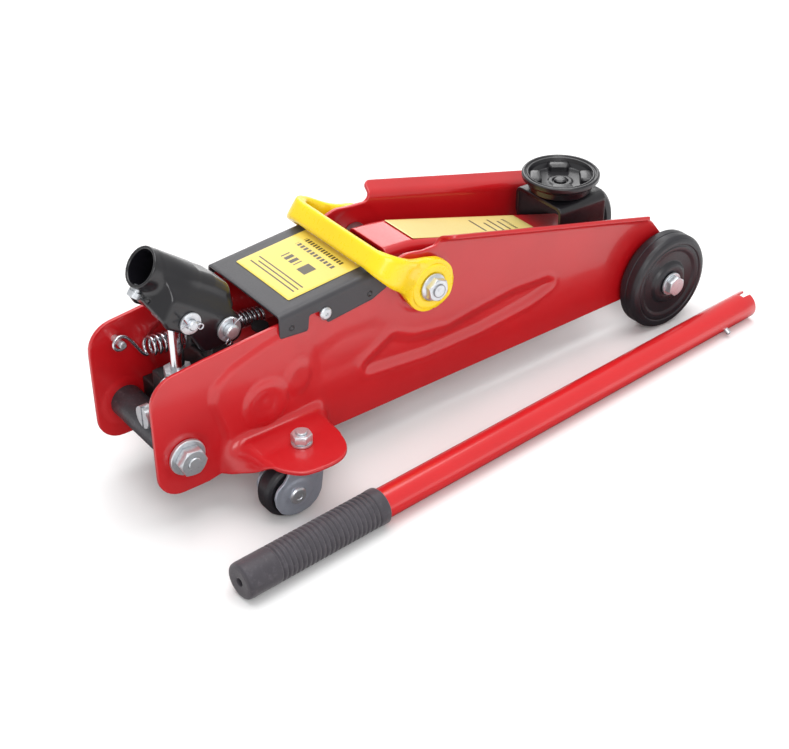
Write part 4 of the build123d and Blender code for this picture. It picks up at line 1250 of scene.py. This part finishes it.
def caster_swivel(side, tag):
    y = side * CASTER_Y
    axis_foot = (CASTER_X, y, 0)
    race = [(4.2, 46.92, 0.1), (13.0, 46.92, 0.3), (13.0, 47.92, 0.3), (4.2, 47.92, 0.1)]
    zinc_lathe("swivel_race_" + tag, race, axis_foot, Z_AXIS, 80,
               replaces=on_left(side, "caster_washers"))
    make("swivel_spring_washer_" + tag, split_washer(y), ZINC, "frame", 40)
    hex_piece("swivel_nut_" + tag, (CASTER_X, y, 53.1), Z_AXIS, 13.0, 6.4,
              on_left(side, "caster_nuts"), hole=3.4, turn=20, both=True)
    head = [(0, 41.9), (4.9, 41.95, 0.5), (6.0, 43.2, 0.6), (6.0, 44.1, 0.2), (4.0, 44.12),
            (4.0, 48.1), (0, 48.1)]
    shape = join(thread((CASTER_X, y, 48.0), Z_AXIS, 4.0, 13.0),
                 turned(rounded(head), axis_foot, Z_AXIS, 48))
    make("swivel_bolt_" + tag, shape, ZINC, "frame", 32,
         on_left(side, "caster_swivel_bolts"), merge=0.0005)


def side_fasteners(side, tag):
    """Axle screw, main pivot nut and cover screw."""
    out = (0, side, 0)
    hex_piece("axle_screw_head_" + tag, at(FRONT_AXLE, side * 64.5), out, 14.6, 5.4,
              on_left(side, "front_axle_bolts"), turn=8 + 14 * side, dome=-0.35)
    washer = [(4.2, 62.7, 0.2), (9.6, 62.7, 0.5), (9.6, 64.45, 0.5), (4.2, 64.45, 0.2)]
    zinc_lathe("axle_washer_" + tag, washer, at(FRONT_AXLE), out, 80)
    flange = [(5.2, 54.1), (10.3, 54.1, 0.4), (10.3, 55.3, 0.5), (7.9, 56.6, 0.6), (5.2, 56.6)]
    zinc_lathe("pivot_nut_flange_" + tag, flange, at(MAIN_PIVOT), out,
               replaces=on_left(side, "main_pivot_nuts"))
    hex_piece("pivot_nut_hex_" + tag, at(MAIN_PIVOT, side * 56.3), out, 15.6, 4.9, hole=4.2,
              turn=15 + 9 * side)
    make("pivot_thread_" + tag, thread(at(MAIN_PIVOT, side * 53.8), out, 5.0, 8.3, pitch=1.4),
         ZINC, "frame", 32, merge=0.0005)
    # flanged cheese head with a round hollow in the middle
    screw = [(0, 38.5), (2.5, 38.5, 0.3), (2.5, 44.6), (4.7, 44.65, 0.2), (4.7, 45.9, 0.5),
             (3.3, 46.85, 0.7), (1.2, 46.9, 0.2), (0.9, 46.0, 0.1), (0, 45.9)]
    zinc_lathe("cover_screw_" + tag, screw, at(COVER_SCREW), out, 56,
               replaces=on_left(side, "cover_screws"))


for side, tag in SIDES[::-1]:
    wheels(side, tag)
    caster_fork(side, tag)
    caster_swivel(side, tag)
    side_fasteners(side, tag)

# small round studs in the cover's dimples
STUD = [(0, 44.0), (2.35, 44.0), (2.3, 44.68, 0.2), (1.75, 44.95, 0.25), (1.35, 44.7, 0.15),
        (0.9, 44.25, 0.2), (0, 44.15)]
for side, tag in SIDES:
    for k, dimple in enumerate(DIMPLES):
        lathe("cover_dimple_%s_%d" % (tag, k), STUD, at(dimple), (0, side, 0), BLACK_GLOSS,
              "frame", 40)


# ---------------------------------------------------------------- rear tie
def rear_tie():
    """Bolt across the frame, headed on the left, with its nut, washers and spacer tube."""
    shank = join(thread(at(REAR_TIE, -44.0), (0, -1, 0), 5.0, 9.8, pitch=1.35),
                 turned([(0, -44.1), (5.0, -44.1), (5.0, 45.2), (0, 45.2)], at(REAR_TIE),
                        Y_AXIS, 48))
    make("tie_bolt_shank", shank, ZINC, "frame", 32, ("rear_tie_bolt",), merge=0.0005)
    hex_piece("tie_bolt_head", at(REAR_TIE, 45.1), Y_AXIS, 17.0, 6.5, turn=11, dome=-0.4)
    hex_piece("tie_nut", at(REAR_TIE, -44.95), (0, -1, 0), 18.4, 7.6,
              ("rear_tie_nut_and_washers",), hole=4.25, turn=24, both=True)
    washer = [(5.2, 42.0, 0.3), (13.3, 42.0, 0.5), (13.3, 44.5, 0.8), (12.5, 44.9, 0.5),
              (5.2, 44.9, 0.3)]
    for side, tag in SIDES:
        zinc_lathe("tie_washer_" + tag, washer, at(REAR_TIE), (0, side, 0))
    tube = [(5.3, -39.4, 0.4), (12.0, -39.4, 0.6), (12.0, 39.4, 0.6), (5.3, 39.4, 0.4)]
    lathe("tie_tube", tube, at(REAR_TIE), Y_AXIS, DARK_TUBE, "frame", 80,
          ("rear_spacer_tube",))


rear_tie()

# ---------------------------------------------------------- return springs
SPRING_Y = 31.0
COIL_REAR, COIL_FRONT = (-416.5, 97.8), (-325.0, 88.0)      # x, z of the coil's ends
COIL_TURNS, COIL_R, TURN_STEPS = 25, 6.35, 30
REAR_HOOK_R, FRONT_HOOK_R = 5.0, 4.9
SPRING_WIRE_R = 1.2


def bezier(p0, p1, p2, p3, t):
    u = 1 - t
    return u ** 3 * p0 + 3 * u ** 2 * t * p1 + 3 * u * t * t * p2 + t ** 3 * p3


def hook_point(centre, radius, degrees):
    t = math.radians(degrees)
    return centre + np.array([radius * math.cos(t), 0.0, radius * math.sin(t)])


def return_spring(side, tag):
    y = side * SPRING_Y
    rear, front = np.array(at(COIL_REAR, y)), np.array(at(COIL_FRONT, y))
    length = np.linalg.norm(front - rear)
    axis = (front - rear) / length
    up, across = np.array([-axis[2], 0, axis[0]]), np.array([0, 1.0, 0])
    # hook round the peg, then a long sweep to the first turn
    peg = np.array(at(SPRING_PEG, y))
    path = [hook_point(peg, REAR_HOOK_R, -42 - 246 * k / 23) for k in range(24)]
    last, coil_start = path[-1], rear - up * COIL_R
    path += [bezier(last, last + np.array([7.0, 0, -1.6]),
                    coil_start + np.array([-5.5, 0, 1.6]), coil_start, k / 15)
             for k in range(1, 15)]
    count = COIL_TURNS * TURN_STEPS
    for k in range(count + 1):
        t = k / count
        # open pitch near the peg, closer towards the front
        along = t + 0.055 * math.sin(math.pi * t) * (1 - t)
        th = -math.pi / 2 + 2 * math.pi * COIL_TURNS * t
        path.append(rear + axis * length * along + up * COIL_R * math.sin(th)
                    + across * COIL_R * math.cos(th) * side)
    # lead out to the hook round the ram's cross pin
    cross = np.array(at(RAM_CROSS_PIN, y))
    last, hook_start = path[-1], hook_point(cross, FRONT_HOOK_R, 120)
    path += [bezier(last, last + axis * 7, hook_start + np.array([-8.0, 0, 1.0]), hook_start,
                    k / 12) for k in range(1, 13)]
    path += [hook_point(cross, FRONT_HOOK_R, 120 - 285 * k / 21) for k in range(1, 22)]
    ob = make("pull_spring_" + tag, wire(path, SPRING_WIRE_R, 10), SPRING_STEEL,
              angle=60, replaces=("return_spring_" + tag,))
    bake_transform(ob)


for side, tag in SIDES:
    return_spring(side, tag)
PEG_PROFILE = [(0, 26.5), (2.1, 26.5, 0.3), (2.5, 27.0, 0.2), (2.5, 42.4), (0, 42.4)]
for side, tag in SIDES:
    zinc_lathe("hook_peg_" + tag, PEG_PROFILE, at(SPRING_PEG), (0, side, 0), 40,
               replaces=on_left(side, "spring_pegs"))


# ----------------------------------------------------------- handle socket
def surface_net(field, origin, cell):
    """Quads through the zero level of a distance grid, negative inside."""
    solid = field < 0
    nx, ny, nz = field.shape
    total = np.zeros((nx - 1, ny - 1, nz - 1, 3))
    count = np.zeros((nx - 1, ny - 1, nz - 1))

    def corner_values(i, j, k):
        return field[i:nx - 1 + i, j:ny - 1 + j, k:nz - 1 + k]

    # each crossed cell gets the mean of its edge crossings
    for a in [(i, j, k) for i in (0, 1) for j in (0, 1) for k in (0, 1)]:
        for axis in range(3):
            if a[axis]:
                continue
            b = list(a)
            b[axis] = 1
            from_a, from_b = corner_values(*a), corner_values(*b)
            crossed = (from_a < 0) != (from_b < 0)
            t = np.where(crossed, from_a / np.where(crossed, from_a - from_b, 1), 0)
            for q in range(3):
                total[..., q] += np.where(crossed, a[q] + (t if q == axis else 0), 0)
            count += crossed
    active = count > 0
    index = -np.ones(active.shape, int)
    index[active] = np.arange(active.sum())
    verts = (np.argwhere(active) + total[active] / count[active][:, None]) * cell + origin
    quads = []
    for axis in range(3):
        a1, a2 = (axis + 1) % 3, (axis + 2) % 3
        near, far = [slice(None)] * 3, [slice(None)] * 3
        near[axis], far[axis] = slice(0, -1), slice(1, None)
        near_solid = solid[tuple(near)]
        p = np.argwhere(near_solid != solid[tuple(far)])
        p = p[(p[:, a1] > 0) & (p[:, a2] > 0) & (p[:, a1] < active.shape[a1])
              & (p[:, a2] < active.shape[a2])]
        flip = near_solid[tuple(p.T)]
        e1, e2 = np.zeros(3, int), np.zeros(3, int)
        e1[a1] = 1
        e2[a2] = 1
        quad = np.stack([index[tuple(q.T)] for q in (p - e1 - e2, p - e2, p, p - e1)], 1)
        quads.append(np.where(flip[:, None], quad, quad[:, ::-1]))
    return verts, np.concatenate(quads)


def smooth_min(a, b, blend):
    t = np.clip(0.5 + 0.5 * (b - a) / blend, 0, 1)
    return b + (a - b) * t - blend * t * (1 - t)


def overlap(a, b, radius):
    """Distance to the common part of two solids, with its edge rounded."""
    a, b = a + radius, b + radius
    return (np.minimum(np.maximum(a, b), 0) + np.hypot(np.maximum(a, 0), np.maximum(b, 0))
            - radius)


SOCKET_TILT = math.radians(38.0)
SOCKET_MOUTH = (-430.9, 180.1)          # x, z of the mouth's centre
SOCKET_R, SOCKET_BORE_R = 14.3, 11.85
# space between the cheeks: x, z[, corner radius]
CHEEK_GAP = [(-450.0, 100.0), (-450.0, 151.0), (-426.0, 152.0), (-418.0, 154.5, 3),
             (-404.0, 154.5, 3), (-392.0, 145.5, 3), (-376.0, 138.0, 2), (-360.0, 138.0),
             (-360.0, 100.0)]


def handle_socket():
    """Tilted tube running into two cheeks that straddle the pins."""
    cos, sin = math.cos(SOCKET_TILT), math.sin(SOCKET_TILT)
    cell = 0.72
    xs, zs = np.arange(-450, -365, cell), np.arange(110, 196, cell)
    ys = np.arange(-27.4, 27.4, cell)
    # side view shapes are worked out once and stretched across y
    x2, z2 = np.meshgrid(xs, zs, indexing="ij")
    dx, dz = x2 - SOCKET_MOUTH[0], z2 - SOCKET_MOUTH[1]

    def tilted(s, up):
        """(x, z) at s down the tube and up square to it."""
        return (SOCKET_MOUTH[0] + s * cos + up * sin, SOCKET_MOUTH[1] - s * sin + up * cos)

    def side_view(outline):
        flat = np.stack([x2.ravel(), z2.ravel()], 1)
        return -depth_inside(flat, rounded(outline)).reshape(x2.shape)[:, None, :]

    side = side_view([tilted(4, 12.0) + (4,), tilted(50, 14.1) + (7,), (-371.8, 149.8, 9),
                      (-372.2, 114.3, 9), (-403.5, 115.2, 6), (-411.3, 131.5, 4),
                      (-428.0, 142.5, 4), tilted(4, -16.0) + (3,)])
    gap = side_view(CHEEK_GAP)
    drive_hole = np.hypot(x2 - DRIVE_PIN[0], z2 - DRIVE_PIN[1]) - 3.55
    pivot_hole = np.hypot(x2 - SOCKET_PIVOT[0], z2 - SOCKET_PIVOT[1]) - 5.05
    y = ys[None, :, None]
    along = (dx * cos - dz * sin)[:, None, :]
    up = (dx * sin + dz * cos)[:, None, :]
    radius = np.sqrt(y ** 2 + up ** 2)
    tube = overlap(radius - SOCKET_R, np.maximum(-along, along - 36.0), 0.8)
    # cheeks: widening and squaring from the tube down to the pins
    low, wide = smooth_step(7.0 - up, 0, 17.0), smooth_step(along - 6.0, 0, 26.0)
    top_half = 10.5 + 5.0 * wide
    half = top_half + (23.9 - top_half) * low
    rounding = 2.2 + (9.0 - 2.2) * np.clip((up + 14.0) / 24.0, 0, 1)
    body = overlap(side, np.abs(y) - half, rounding)
    # rear face folded back on both sides
    rear_face = (5.0 + 0.50 * np.abs(y) - 0.10 * up - along) / 1.12
    body = -smooth_min(-body, -rear_face, 2.0)
    field = np.maximum(smooth_min(tube, body, 4.0), np.abs(y) - 24.0)
    field = np.maximum(field, -overlap(gap, np.abs(y) - 18.2, 2.0))
    bore = np.maximum(radius - SOCKET_BORE_R, along - 27.0)
    flare = np.maximum(radius - SOCKET_BORE_R - np.clip(0.8 - along, 0, 0.9), along - 0.8)
    field = np.maximum(field, -np.minimum(bore, flare))
    field = np.maximum(field, -np.minimum(drive_hole, pivot_hole)[:, None, :])
    # hole for the lock screw, through the underside near the mouth
    lock_hole = np.maximum(np.hypot(along - 6.5, y) - 3.1, up + 8.0)
    field = np.maximum(field, -lock_hole)
    # two small dents in the rear face
    for dent_y in (-5.0, -9.6):
        dent_along = 5.0 + 0.5 * abs(dent_y) + 1.6
        dent = np.sqrt((along - dent_along) ** 2 + (y - dent_y) ** 2 + (up + 17.0) ** 2) - 1.7
        field = np.maximum(field, -dent)
    shape = surface_net(field, np.array([xs[0], ys[0], zs[0]]), cell)
    ob = make("socket_weldment", shape, angle=180)
    relax = ob.modifiers.new("s", "SMOOTH")
    relax.iterations = 2
    relax.factor = 0.5
    bake(ob)
    finish_mesh(ob, SOCKET_BLACK, 60)
    enrol(ob, ("handle_socket",), "handle_socket")


handle_socket()

# ---------------------------------------------------------------- castings
melt("pump_block", "pump_casting", CAST_BLOCK, "frame", voxel=0.9, smooth=7)
melt("ram_head", "ram_head_casting", CAST_BLOCK, "ram", voxel=0.7, smooth=6)
melt("plunger_head", "plunger_eye", STEEL, "plunger", voxel=0.5, smooth=6)
melt("radius_rods", "radius_links", ZINC_PRESSED, "radius_rods", voxel=0.6, smooth=5)


# ------------------------------------------------------------- socket pins
def cotter(name, pin, y, side, body, turn, pin_r):
    """Split pin across a pin's end: eye at one end, two legs spread at the other."""
    centre = np.array(at(pin, y))
    t = math.radians(turn)
    along = np.array([math.sin(t), 0, math.cos(t)])
    across = np.array([math.cos(t), 0, -math.sin(t)])
    path = []
    for k in range(8):
        u = k / 7
        path.append(centre - along * (pin_r + 5.5 - 5.5 * u)
                    + across * (2.6 * (1 - u) ** 1.5 + 0.5)
                    + np.array([0, side * 1.2 * (1 - u), 0]))
    for k in range(6):
        path.append(centre + along * (pin_r * 2 * (k + 1) / 6 - pin_r) + across * 0.5)
    for k in range(15):
        a = math.radians(-35 + 250 * k / 14)
        path.append(centre + along * (pin_r + 2.9 + 2.0 * math.sin(a))
                    + across * (1.9 * math.cos(a)))
    for k in range(6):
        path.append(centre + along * (pin_r - pin_r * 2 * k / 5) - across * 0.5)
    for k in range(1, 8):
        u = k / 7
        path.append(centre - along * (pin_r + 6.5 * u) - across * (3.4 * u ** 1.5 + 0.5)
                    + np.array([0, side * 1.6 * u, 0]))
    make(name, wire(path, 0.62, 8), SPRING_STEEL, body, 60)


def socket_pins():
    drive_washer = [(3.7, 24.15, 0.2), (7.7, 24.15, 0.4), (7.7, 26.0, 0.4), (3.7, 26.0, 0.2)]
    pivot_washer = [(5.2, 24.15, 0.2), (8.7, 24.15, 0.4), (8.7, 26.2, 0.4), (5.2, 26.2, 0.2)]
    for side, tag in SIDES:
        zinc_lathe("drive_pin_washer_" + tag, drive_washer, at(DRIVE_PIN), (0, side, 0), 72,
                   "handle_socket", on_left(side, "drive_pin_fasteners"))
        zinc_lathe("pivot_pin_washer_" + tag, pivot_washer, at(SOCKET_PIVOT), (0, side, 0), 72,
                   "frame", on_left(side, "pivot_pin_fasteners"))
        cotter("drive_pin_cotter_" + tag, DRIVE_PIN, side * 27.9, side, "handle_socket",
               turn=118 if side < 0 else 40, pin_r=3.5)
        cotter("pivot_pin_cotter_" + tag, SOCKET_PIVOT, side * 28.5, side, "frame",
               turn=200 if side < 0 else 160, pin_r=5.0)
    drive = [(0, -30.0), (2.7, -30.0, 0.3), (3.5, -29.2, 0.3), (3.5, 29.2, 0.3),
             (2.7, 30.0, 0.3), (0, 30.0)]
    zinc_lathe("drive_pin", drive, at(DRIVE_PIN), Y_AXIS, 56, replaces=("plunger_drive_pin",),
               body="handle_socket" if False else "frame") if False else lathe(
        "drive_pin", drive, at(DRIVE_PIN), Y_AXIS, ZINC, "frame", 56,
        ("plunger_drive_pin",)) if False else zinc_lathe(
        "drive_pin", drive, at(DRIVE_PIN), Y_AXIS, 56, "handle_socket", ("plunger_drive_pin",))
    pivot = [(0, -31.0), (4.0, -31.0, 0.3), (5.0, -30.1, 0.4), (5.0, 30.1, 0.4),
             (4.0, 31.0, 0.3), (0, 31.0)]
    zinc_lathe("pivot_pin", pivot, at(SOCKET_PIVOT), Y_AXIS, 64,
               replaces=("socket_pivot_pin",))


socket_pins()

# ------------------------------------------------------------ loose handle
# It rests on the floor on its grip and its tip.
BUTT, TIP = (-449.0, -126.6), (62.0, -90.0)     # x, y of the grip's end and the open end
GRIP_R, GRIP_LENGTH = 13.0, 118.0
PIPE_R, PIPE_BORE_R = 11.0, 9.3
NOTCH_HALF, NOTCH_DEPTH = 3.25, 7.9
run_x, run_y = TIP[0] - BUTT[0], TIP[1] - BUTT[1]
HANDLE_LENGTH = math.hypot(run_x, run_y)
DROP = math.atan2(GRIP_R - PIPE_R, HANDLE_LENGTH - GRIP_LENGTH)
HANDLE_DIR = np.array([run_x / HANDLE_LENGTH * math.cos(DROP),
                       run_y / HANDLE_LENGTH * math.cos(DROP), -math.sin(DROP)])
HANDLE_START = np.array([BUTT[0], BUTT[1], GRIP_R + math.tan(DROP) * GRIP_LENGTH + 0.02])
HANDLE_UP = np.array([0, 0, 1.0]) - HANDLE_DIR * HANDLE_DIR[2]
HANDLE_UP /= np.linalg.norm(HANDLE_UP)
HANDLE_SIDE = np.cross(HANDLE_UP, HANDLE_DIR)


def grip():
    """Rubber sleeve with 22 grooves and a lip at its front end."""
    profile = [(3.1, 0.3, 0.4), (9.2, 0.0, 1.0), (12.6, 0.6, 2.2), (13.0, 4.0, 2.0),
               (13.0, 24.6)]
    groove = [(13.0, -0.35), (12.75, 0), (12.15, 0.35), (12.05, 0.75), (12.15, 1.15),
              (12.75, 1.5), (13.0, 1.85)]
    for k in range(22):
        profile += [(radius, 26.0 + 3.9 * k + s) for radius, s in groove]
    profile += [(13.0, 111.0), (13.25, 113.0, 0.6), (13.25, 117.2, 0.8), (12.4, 118.0, 0.5),
                (11.05, 118.0), (11.05, 5.0), (3.1, 5.0)]
    lathe("grip_sleeve", profile, HANDLE_START, HANDLE_DIR, GRIP_RUBBER, "loose_handle",
          128, ("handle_grip",), angle=60)


def handle_pipe():
    """Tube with a notch across its open end."""
    segs = 160
    stations = [5.0] + list(np.linspace(30, HANDLE_LENGTH - 20, 24)) + [HANDLE_LENGTH - 12]
    verts = []
    for k in range(segs):
        a = 2 * math.pi * k / segs
        end = HANDLE_LENGTH
        if abs(PIPE_R * math.cos(a)) < NOTCH_HALF:
            end = HANDLE_LENGTH - NOTCH_DEPTH
        column = [(PIPE_R, s) for s in stations]
        column += [(PIPE_R, end - 0.45), (PIPE_R - 0.13, end - 0.13), (PIPE_R - 0.45, end),
                   (PIPE_BORE_R + 0.3, end), (PIPE_BORE_R, end - 0.3)]
        column += [(PIPE_BORE_R, s) for s in stations[::-1]]
        out = HANDLE_SIDE * math.cos(a) + HANDLE_UP * math.sin(a)
        verts += [HANDLE_START + HANDLE_DIR * s + out * radius for radius, s in column]
    faces = column_faces(segs, [radius for radius, s in column])
    make("handle_pipe", (verts, faces), RED_TUBE, "loose_handle", 30,
         ("handle_tube",))


def snap_button():
    turn = math.radians(118)
    out = -HANDLE_SIDE * math.sin(turn) + HANDLE_UP * math.cos(turn)
    profile = [(0, 7.0), (2.0, 7.0), (2.0, 14.6), (1.6, 15.3, 0.4), (0.8, 15.6, 0.4), (0, 15.6)]
    zinc_lathe("snap_button", profile, HANDLE_START + HANDLE_DIR * (HANDLE_LENGTH - 36.0), out,
               40, "handle_button", ("handle_button",))


grip()
handle_pipe()
snap_button()

# ------------------------------------------------- materials on CAD nodes
CAD_MATERIALS = {
    "front_axle": STEEL, "front_axle_spacer": STEEL, "main_pivot_axle": STEEL,
    "main_pivot_spacers": STEEL, "pump_gland_nut": ZINC, "reservoir_tank": TANK_RED,
    "ram_cylinder": STEEL, "tank_end_cap": CAST_BLOCK, "filler_plug": PLUG_RUBBER,
    "rod_rear_pins": ZINC, "pump_plunger": CHROME, "release_valve": ZINC,
    "arm_pivot_tube": RED_PARTS, "lever_pin": ZINC, "ram_roller": STEEL,
    "bracket_pivot_pin": ZINC, "rod_front_pins": ZINC, "ram_piston": CHROME,
    "ram_cross_pin": ZINC, "socket_lock_screw": ZINC,
}
for name, mat in CAD_MATERIALS.items():
    node = NODES[name]
    if not node.data.materials:
        node.data.materials.append(mat)
    else:
        for material_slot in node.material_slots:
            material_slot.material = mat
for name, node in NODES.items():
    if name not in CAD_MATERIALS:
        for material_slot in node.material_slots:
            material_slot.material = STEEL

# ------------------------------------------------------------------- stage
scene = bpy.context.scene
FLOOR_HALF = 6.0        # metres, as are all sizes in this section unless placed
# patch of floor painted dark for mirror rays only, a painted reflection of shade, in metres from
# the jack's origin
REFLECTION_PATCH_SLOPE, REFLECTION_PATCH_HALF_Y = -0.149, 0.1186      # half width grows towards the rear
REFLECTION_PATCH_FADE = 0.018
REFLECTION_PATCH_FRONT, REFLECTION_PATCH_FRONT_FADE = 0.09, 0.04
REFLECTION_PATCH_REAR, REFLECTION_PATCH_REAR_FADE = 0.56, 0.08


def floor_material():
    mat = bpy.data.materials.new("floor_white")
    mat.use_nodes = True
    tree = mat.node_tree
    nodes, link = tree.nodes, tree.links.new
    nodes.clear()
    out = nodes.new("ShaderNodeOutputMaterial")
    white = nodes.new("ShaderNodeBsdfDiffuse")
    link(ramp(tree, noise(tree, 3.0), (0.0, (0.93, 0.93, 0.93, 1)), (1.0, (0.95, 0.95, 0.95, 1))),
         white.inputs["Color"])
    # painted reflection: mirror rays alone see a dark reddish floor close to the body, which
    # paints shade into the glossy panels
    geometry = nodes.new("ShaderNodeNewGeometry")
    split = nodes.new("ShaderNodeSeparateXYZ")
    link(geometry.outputs["Position"], split.inputs[0])
    x = math_node(tree, "SUBTRACT", split.outputs["X"], float(ORIGIN[0]))
    y = math_node(tree, "ABSOLUTE",
                  math_node(tree, "SUBTRACT", split.outputs["Y"], float(ORIGIN[1])))
    limit = math_node(tree, "ADD", math_node(tree, "MULTIPLY", x, REFLECTION_PATCH_SLOPE), REFLECTION_PATCH_HALF_Y)
    margin = math_node(tree, "ADD", math_node(tree, "SUBTRACT", limit, y), REFLECTION_PATCH_FADE / 2)
    sides = math_node(tree, "DIVIDE", margin, REFLECTION_PATCH_FADE, clamp=True)
    front = math_node(tree, "DIVIDE", math_node(tree, "SUBTRACT", REFLECTION_PATCH_FRONT, x),
                      REFLECTION_PATCH_FRONT_FADE, clamp=True)
    rear = math_node(tree, "DIVIDE", math_node(tree, "ADD", x, REFLECTION_PATCH_REAR), REFLECTION_PATCH_REAR_FADE,
                     clamp=True)
    rays = nodes.new("ShaderNodeLightPath")
    painted_reflection_area = math_node(tree, "MULTIPLY", math_node(tree, "MULTIPLY", sides, front), rear)
    mask = math_node(tree, "MULTIPLY", painted_reflection_area,
                     math_node(tree, "MULTIPLY", rays.outputs["Is Glossy Ray"], 0.9))
    # painted dark reflection colour of the floor near the body
    dark = nodes.new("ShaderNodeBsdfDiffuse")
    dark.inputs["Color"].default_value = (0.05, 0.02, 0.02, 1)
    mix = nodes.new("ShaderNodeMixShader")
    link(mask, mix.inputs[0])
    link(white.outputs[0], mix.inputs[1])
    link(dark.outputs[0], mix.inputs[2])
    link(mix.outputs[0], out.inputs[0])
    return mat


def floor():
    mesh = bpy.data.meshes.new("floor")
    half = FLOOR_HALF
    mesh.from_pydata([(-half, -half, 0), (half, -half, 0), (half, half, 0), (-half, half, 0)],
                     [], [(0, 1, 2, 3)])
    ob = bpy.data.objects.new("floor", mesh)
    scene.collection.objects.link(ob)
    mesh.materials.append(floor_material())


def studio_world():
    """White to the camera, dimmer as a light."""
    world = bpy.data.worlds.new("studio")
    scene.world = world
    world.use_nodes = True
    nodes, link = world.node_tree.nodes, world.node_tree.links.new
    nodes.clear()
    out = nodes.new("ShaderNodeOutputWorld")
    rays = nodes.new("ShaderNodeLightPath")
    mix = nodes.new("ShaderNodeMixShader")
    link(rays.outputs["Is Camera Ray"], mix.inputs[0])
    for socket, strength in ((2, 1.0), (1, 0.62)):      # seen by the camera, by other rays
        background = nodes.new("ShaderNodeBackground")
        background.inputs["Color"].default_value = (1, 1, 1, 1)
        background.inputs["Strength"].default_value = strength
        link(background.outputs[0], mix.inputs[socket])
    link(mix.outputs[0], out.inputs[0])


def softbox(name, location, target, size, power):
    light = bpy.data.lights.new(name, "AREA")
    light.shape = "RECTANGLE"
    light.size = size
    light.size_y = size
    light.energy = power
    ob = bpy.data.objects.new(name, light)
    scene.collection.objects.link(ob)
    ob.location = location
    aim = Vector(target) - Vector(location)
    ob.rotation_euler = aim.to_track_quat("-Z", "Y").to_euler()


def camera():
    """Looks down on the jack from its right rear."""
    data = bpy.data.cameras.new("camera")
    ob = bpy.data.objects.new("camera", data)
    scene.collection.objects.link(ob)
    data.sensor_fit = "HORIZONTAL"
    data.sensor_width = 36.0
    data.lens = 70.394373
    data.clip_start = 0.01
    data.clip_end = 50
    back = np.array([-0.4987, -0.6582, 0.5640])     # from the scene to the camera
    right = np.array([0.7971, -0.6039, 0.0])
    back /= np.linalg.norm(back)
    right /= np.linalg.norm(right)
    up = np.cross(back, right)
    roll = math.radians(-0.22)
    x = math.cos(roll) * right + math.sin(roll) * up
    y = -math.sin(roll) * right + math.cos(roll) * up
    eye = place((-813.0, -771.1, 674.0))
    rows = [(x[i], y[i], back[i], eye[i]) for i in range(3)]
    ob.matrix_world = Matrix((*rows, (0, 0, 0, 1)))
    scene.camera = ob


floor()
studio_world()
softbox("top_box", location=(0.1, 0.15, 1.9), target=(0, 0, 0), size=1.7, power=26)
softbox("front_box", location=(-0.9, -1.6, 1.3), target=(0, 0, 0.05), size=1.2, power=16)
softbox("back_box", location=(0.9, 1.5, 1.0), target=(0, 0, 0.08), size=1.1, power=9)
camera()
scene.view_settings.view_transform = "Standard"
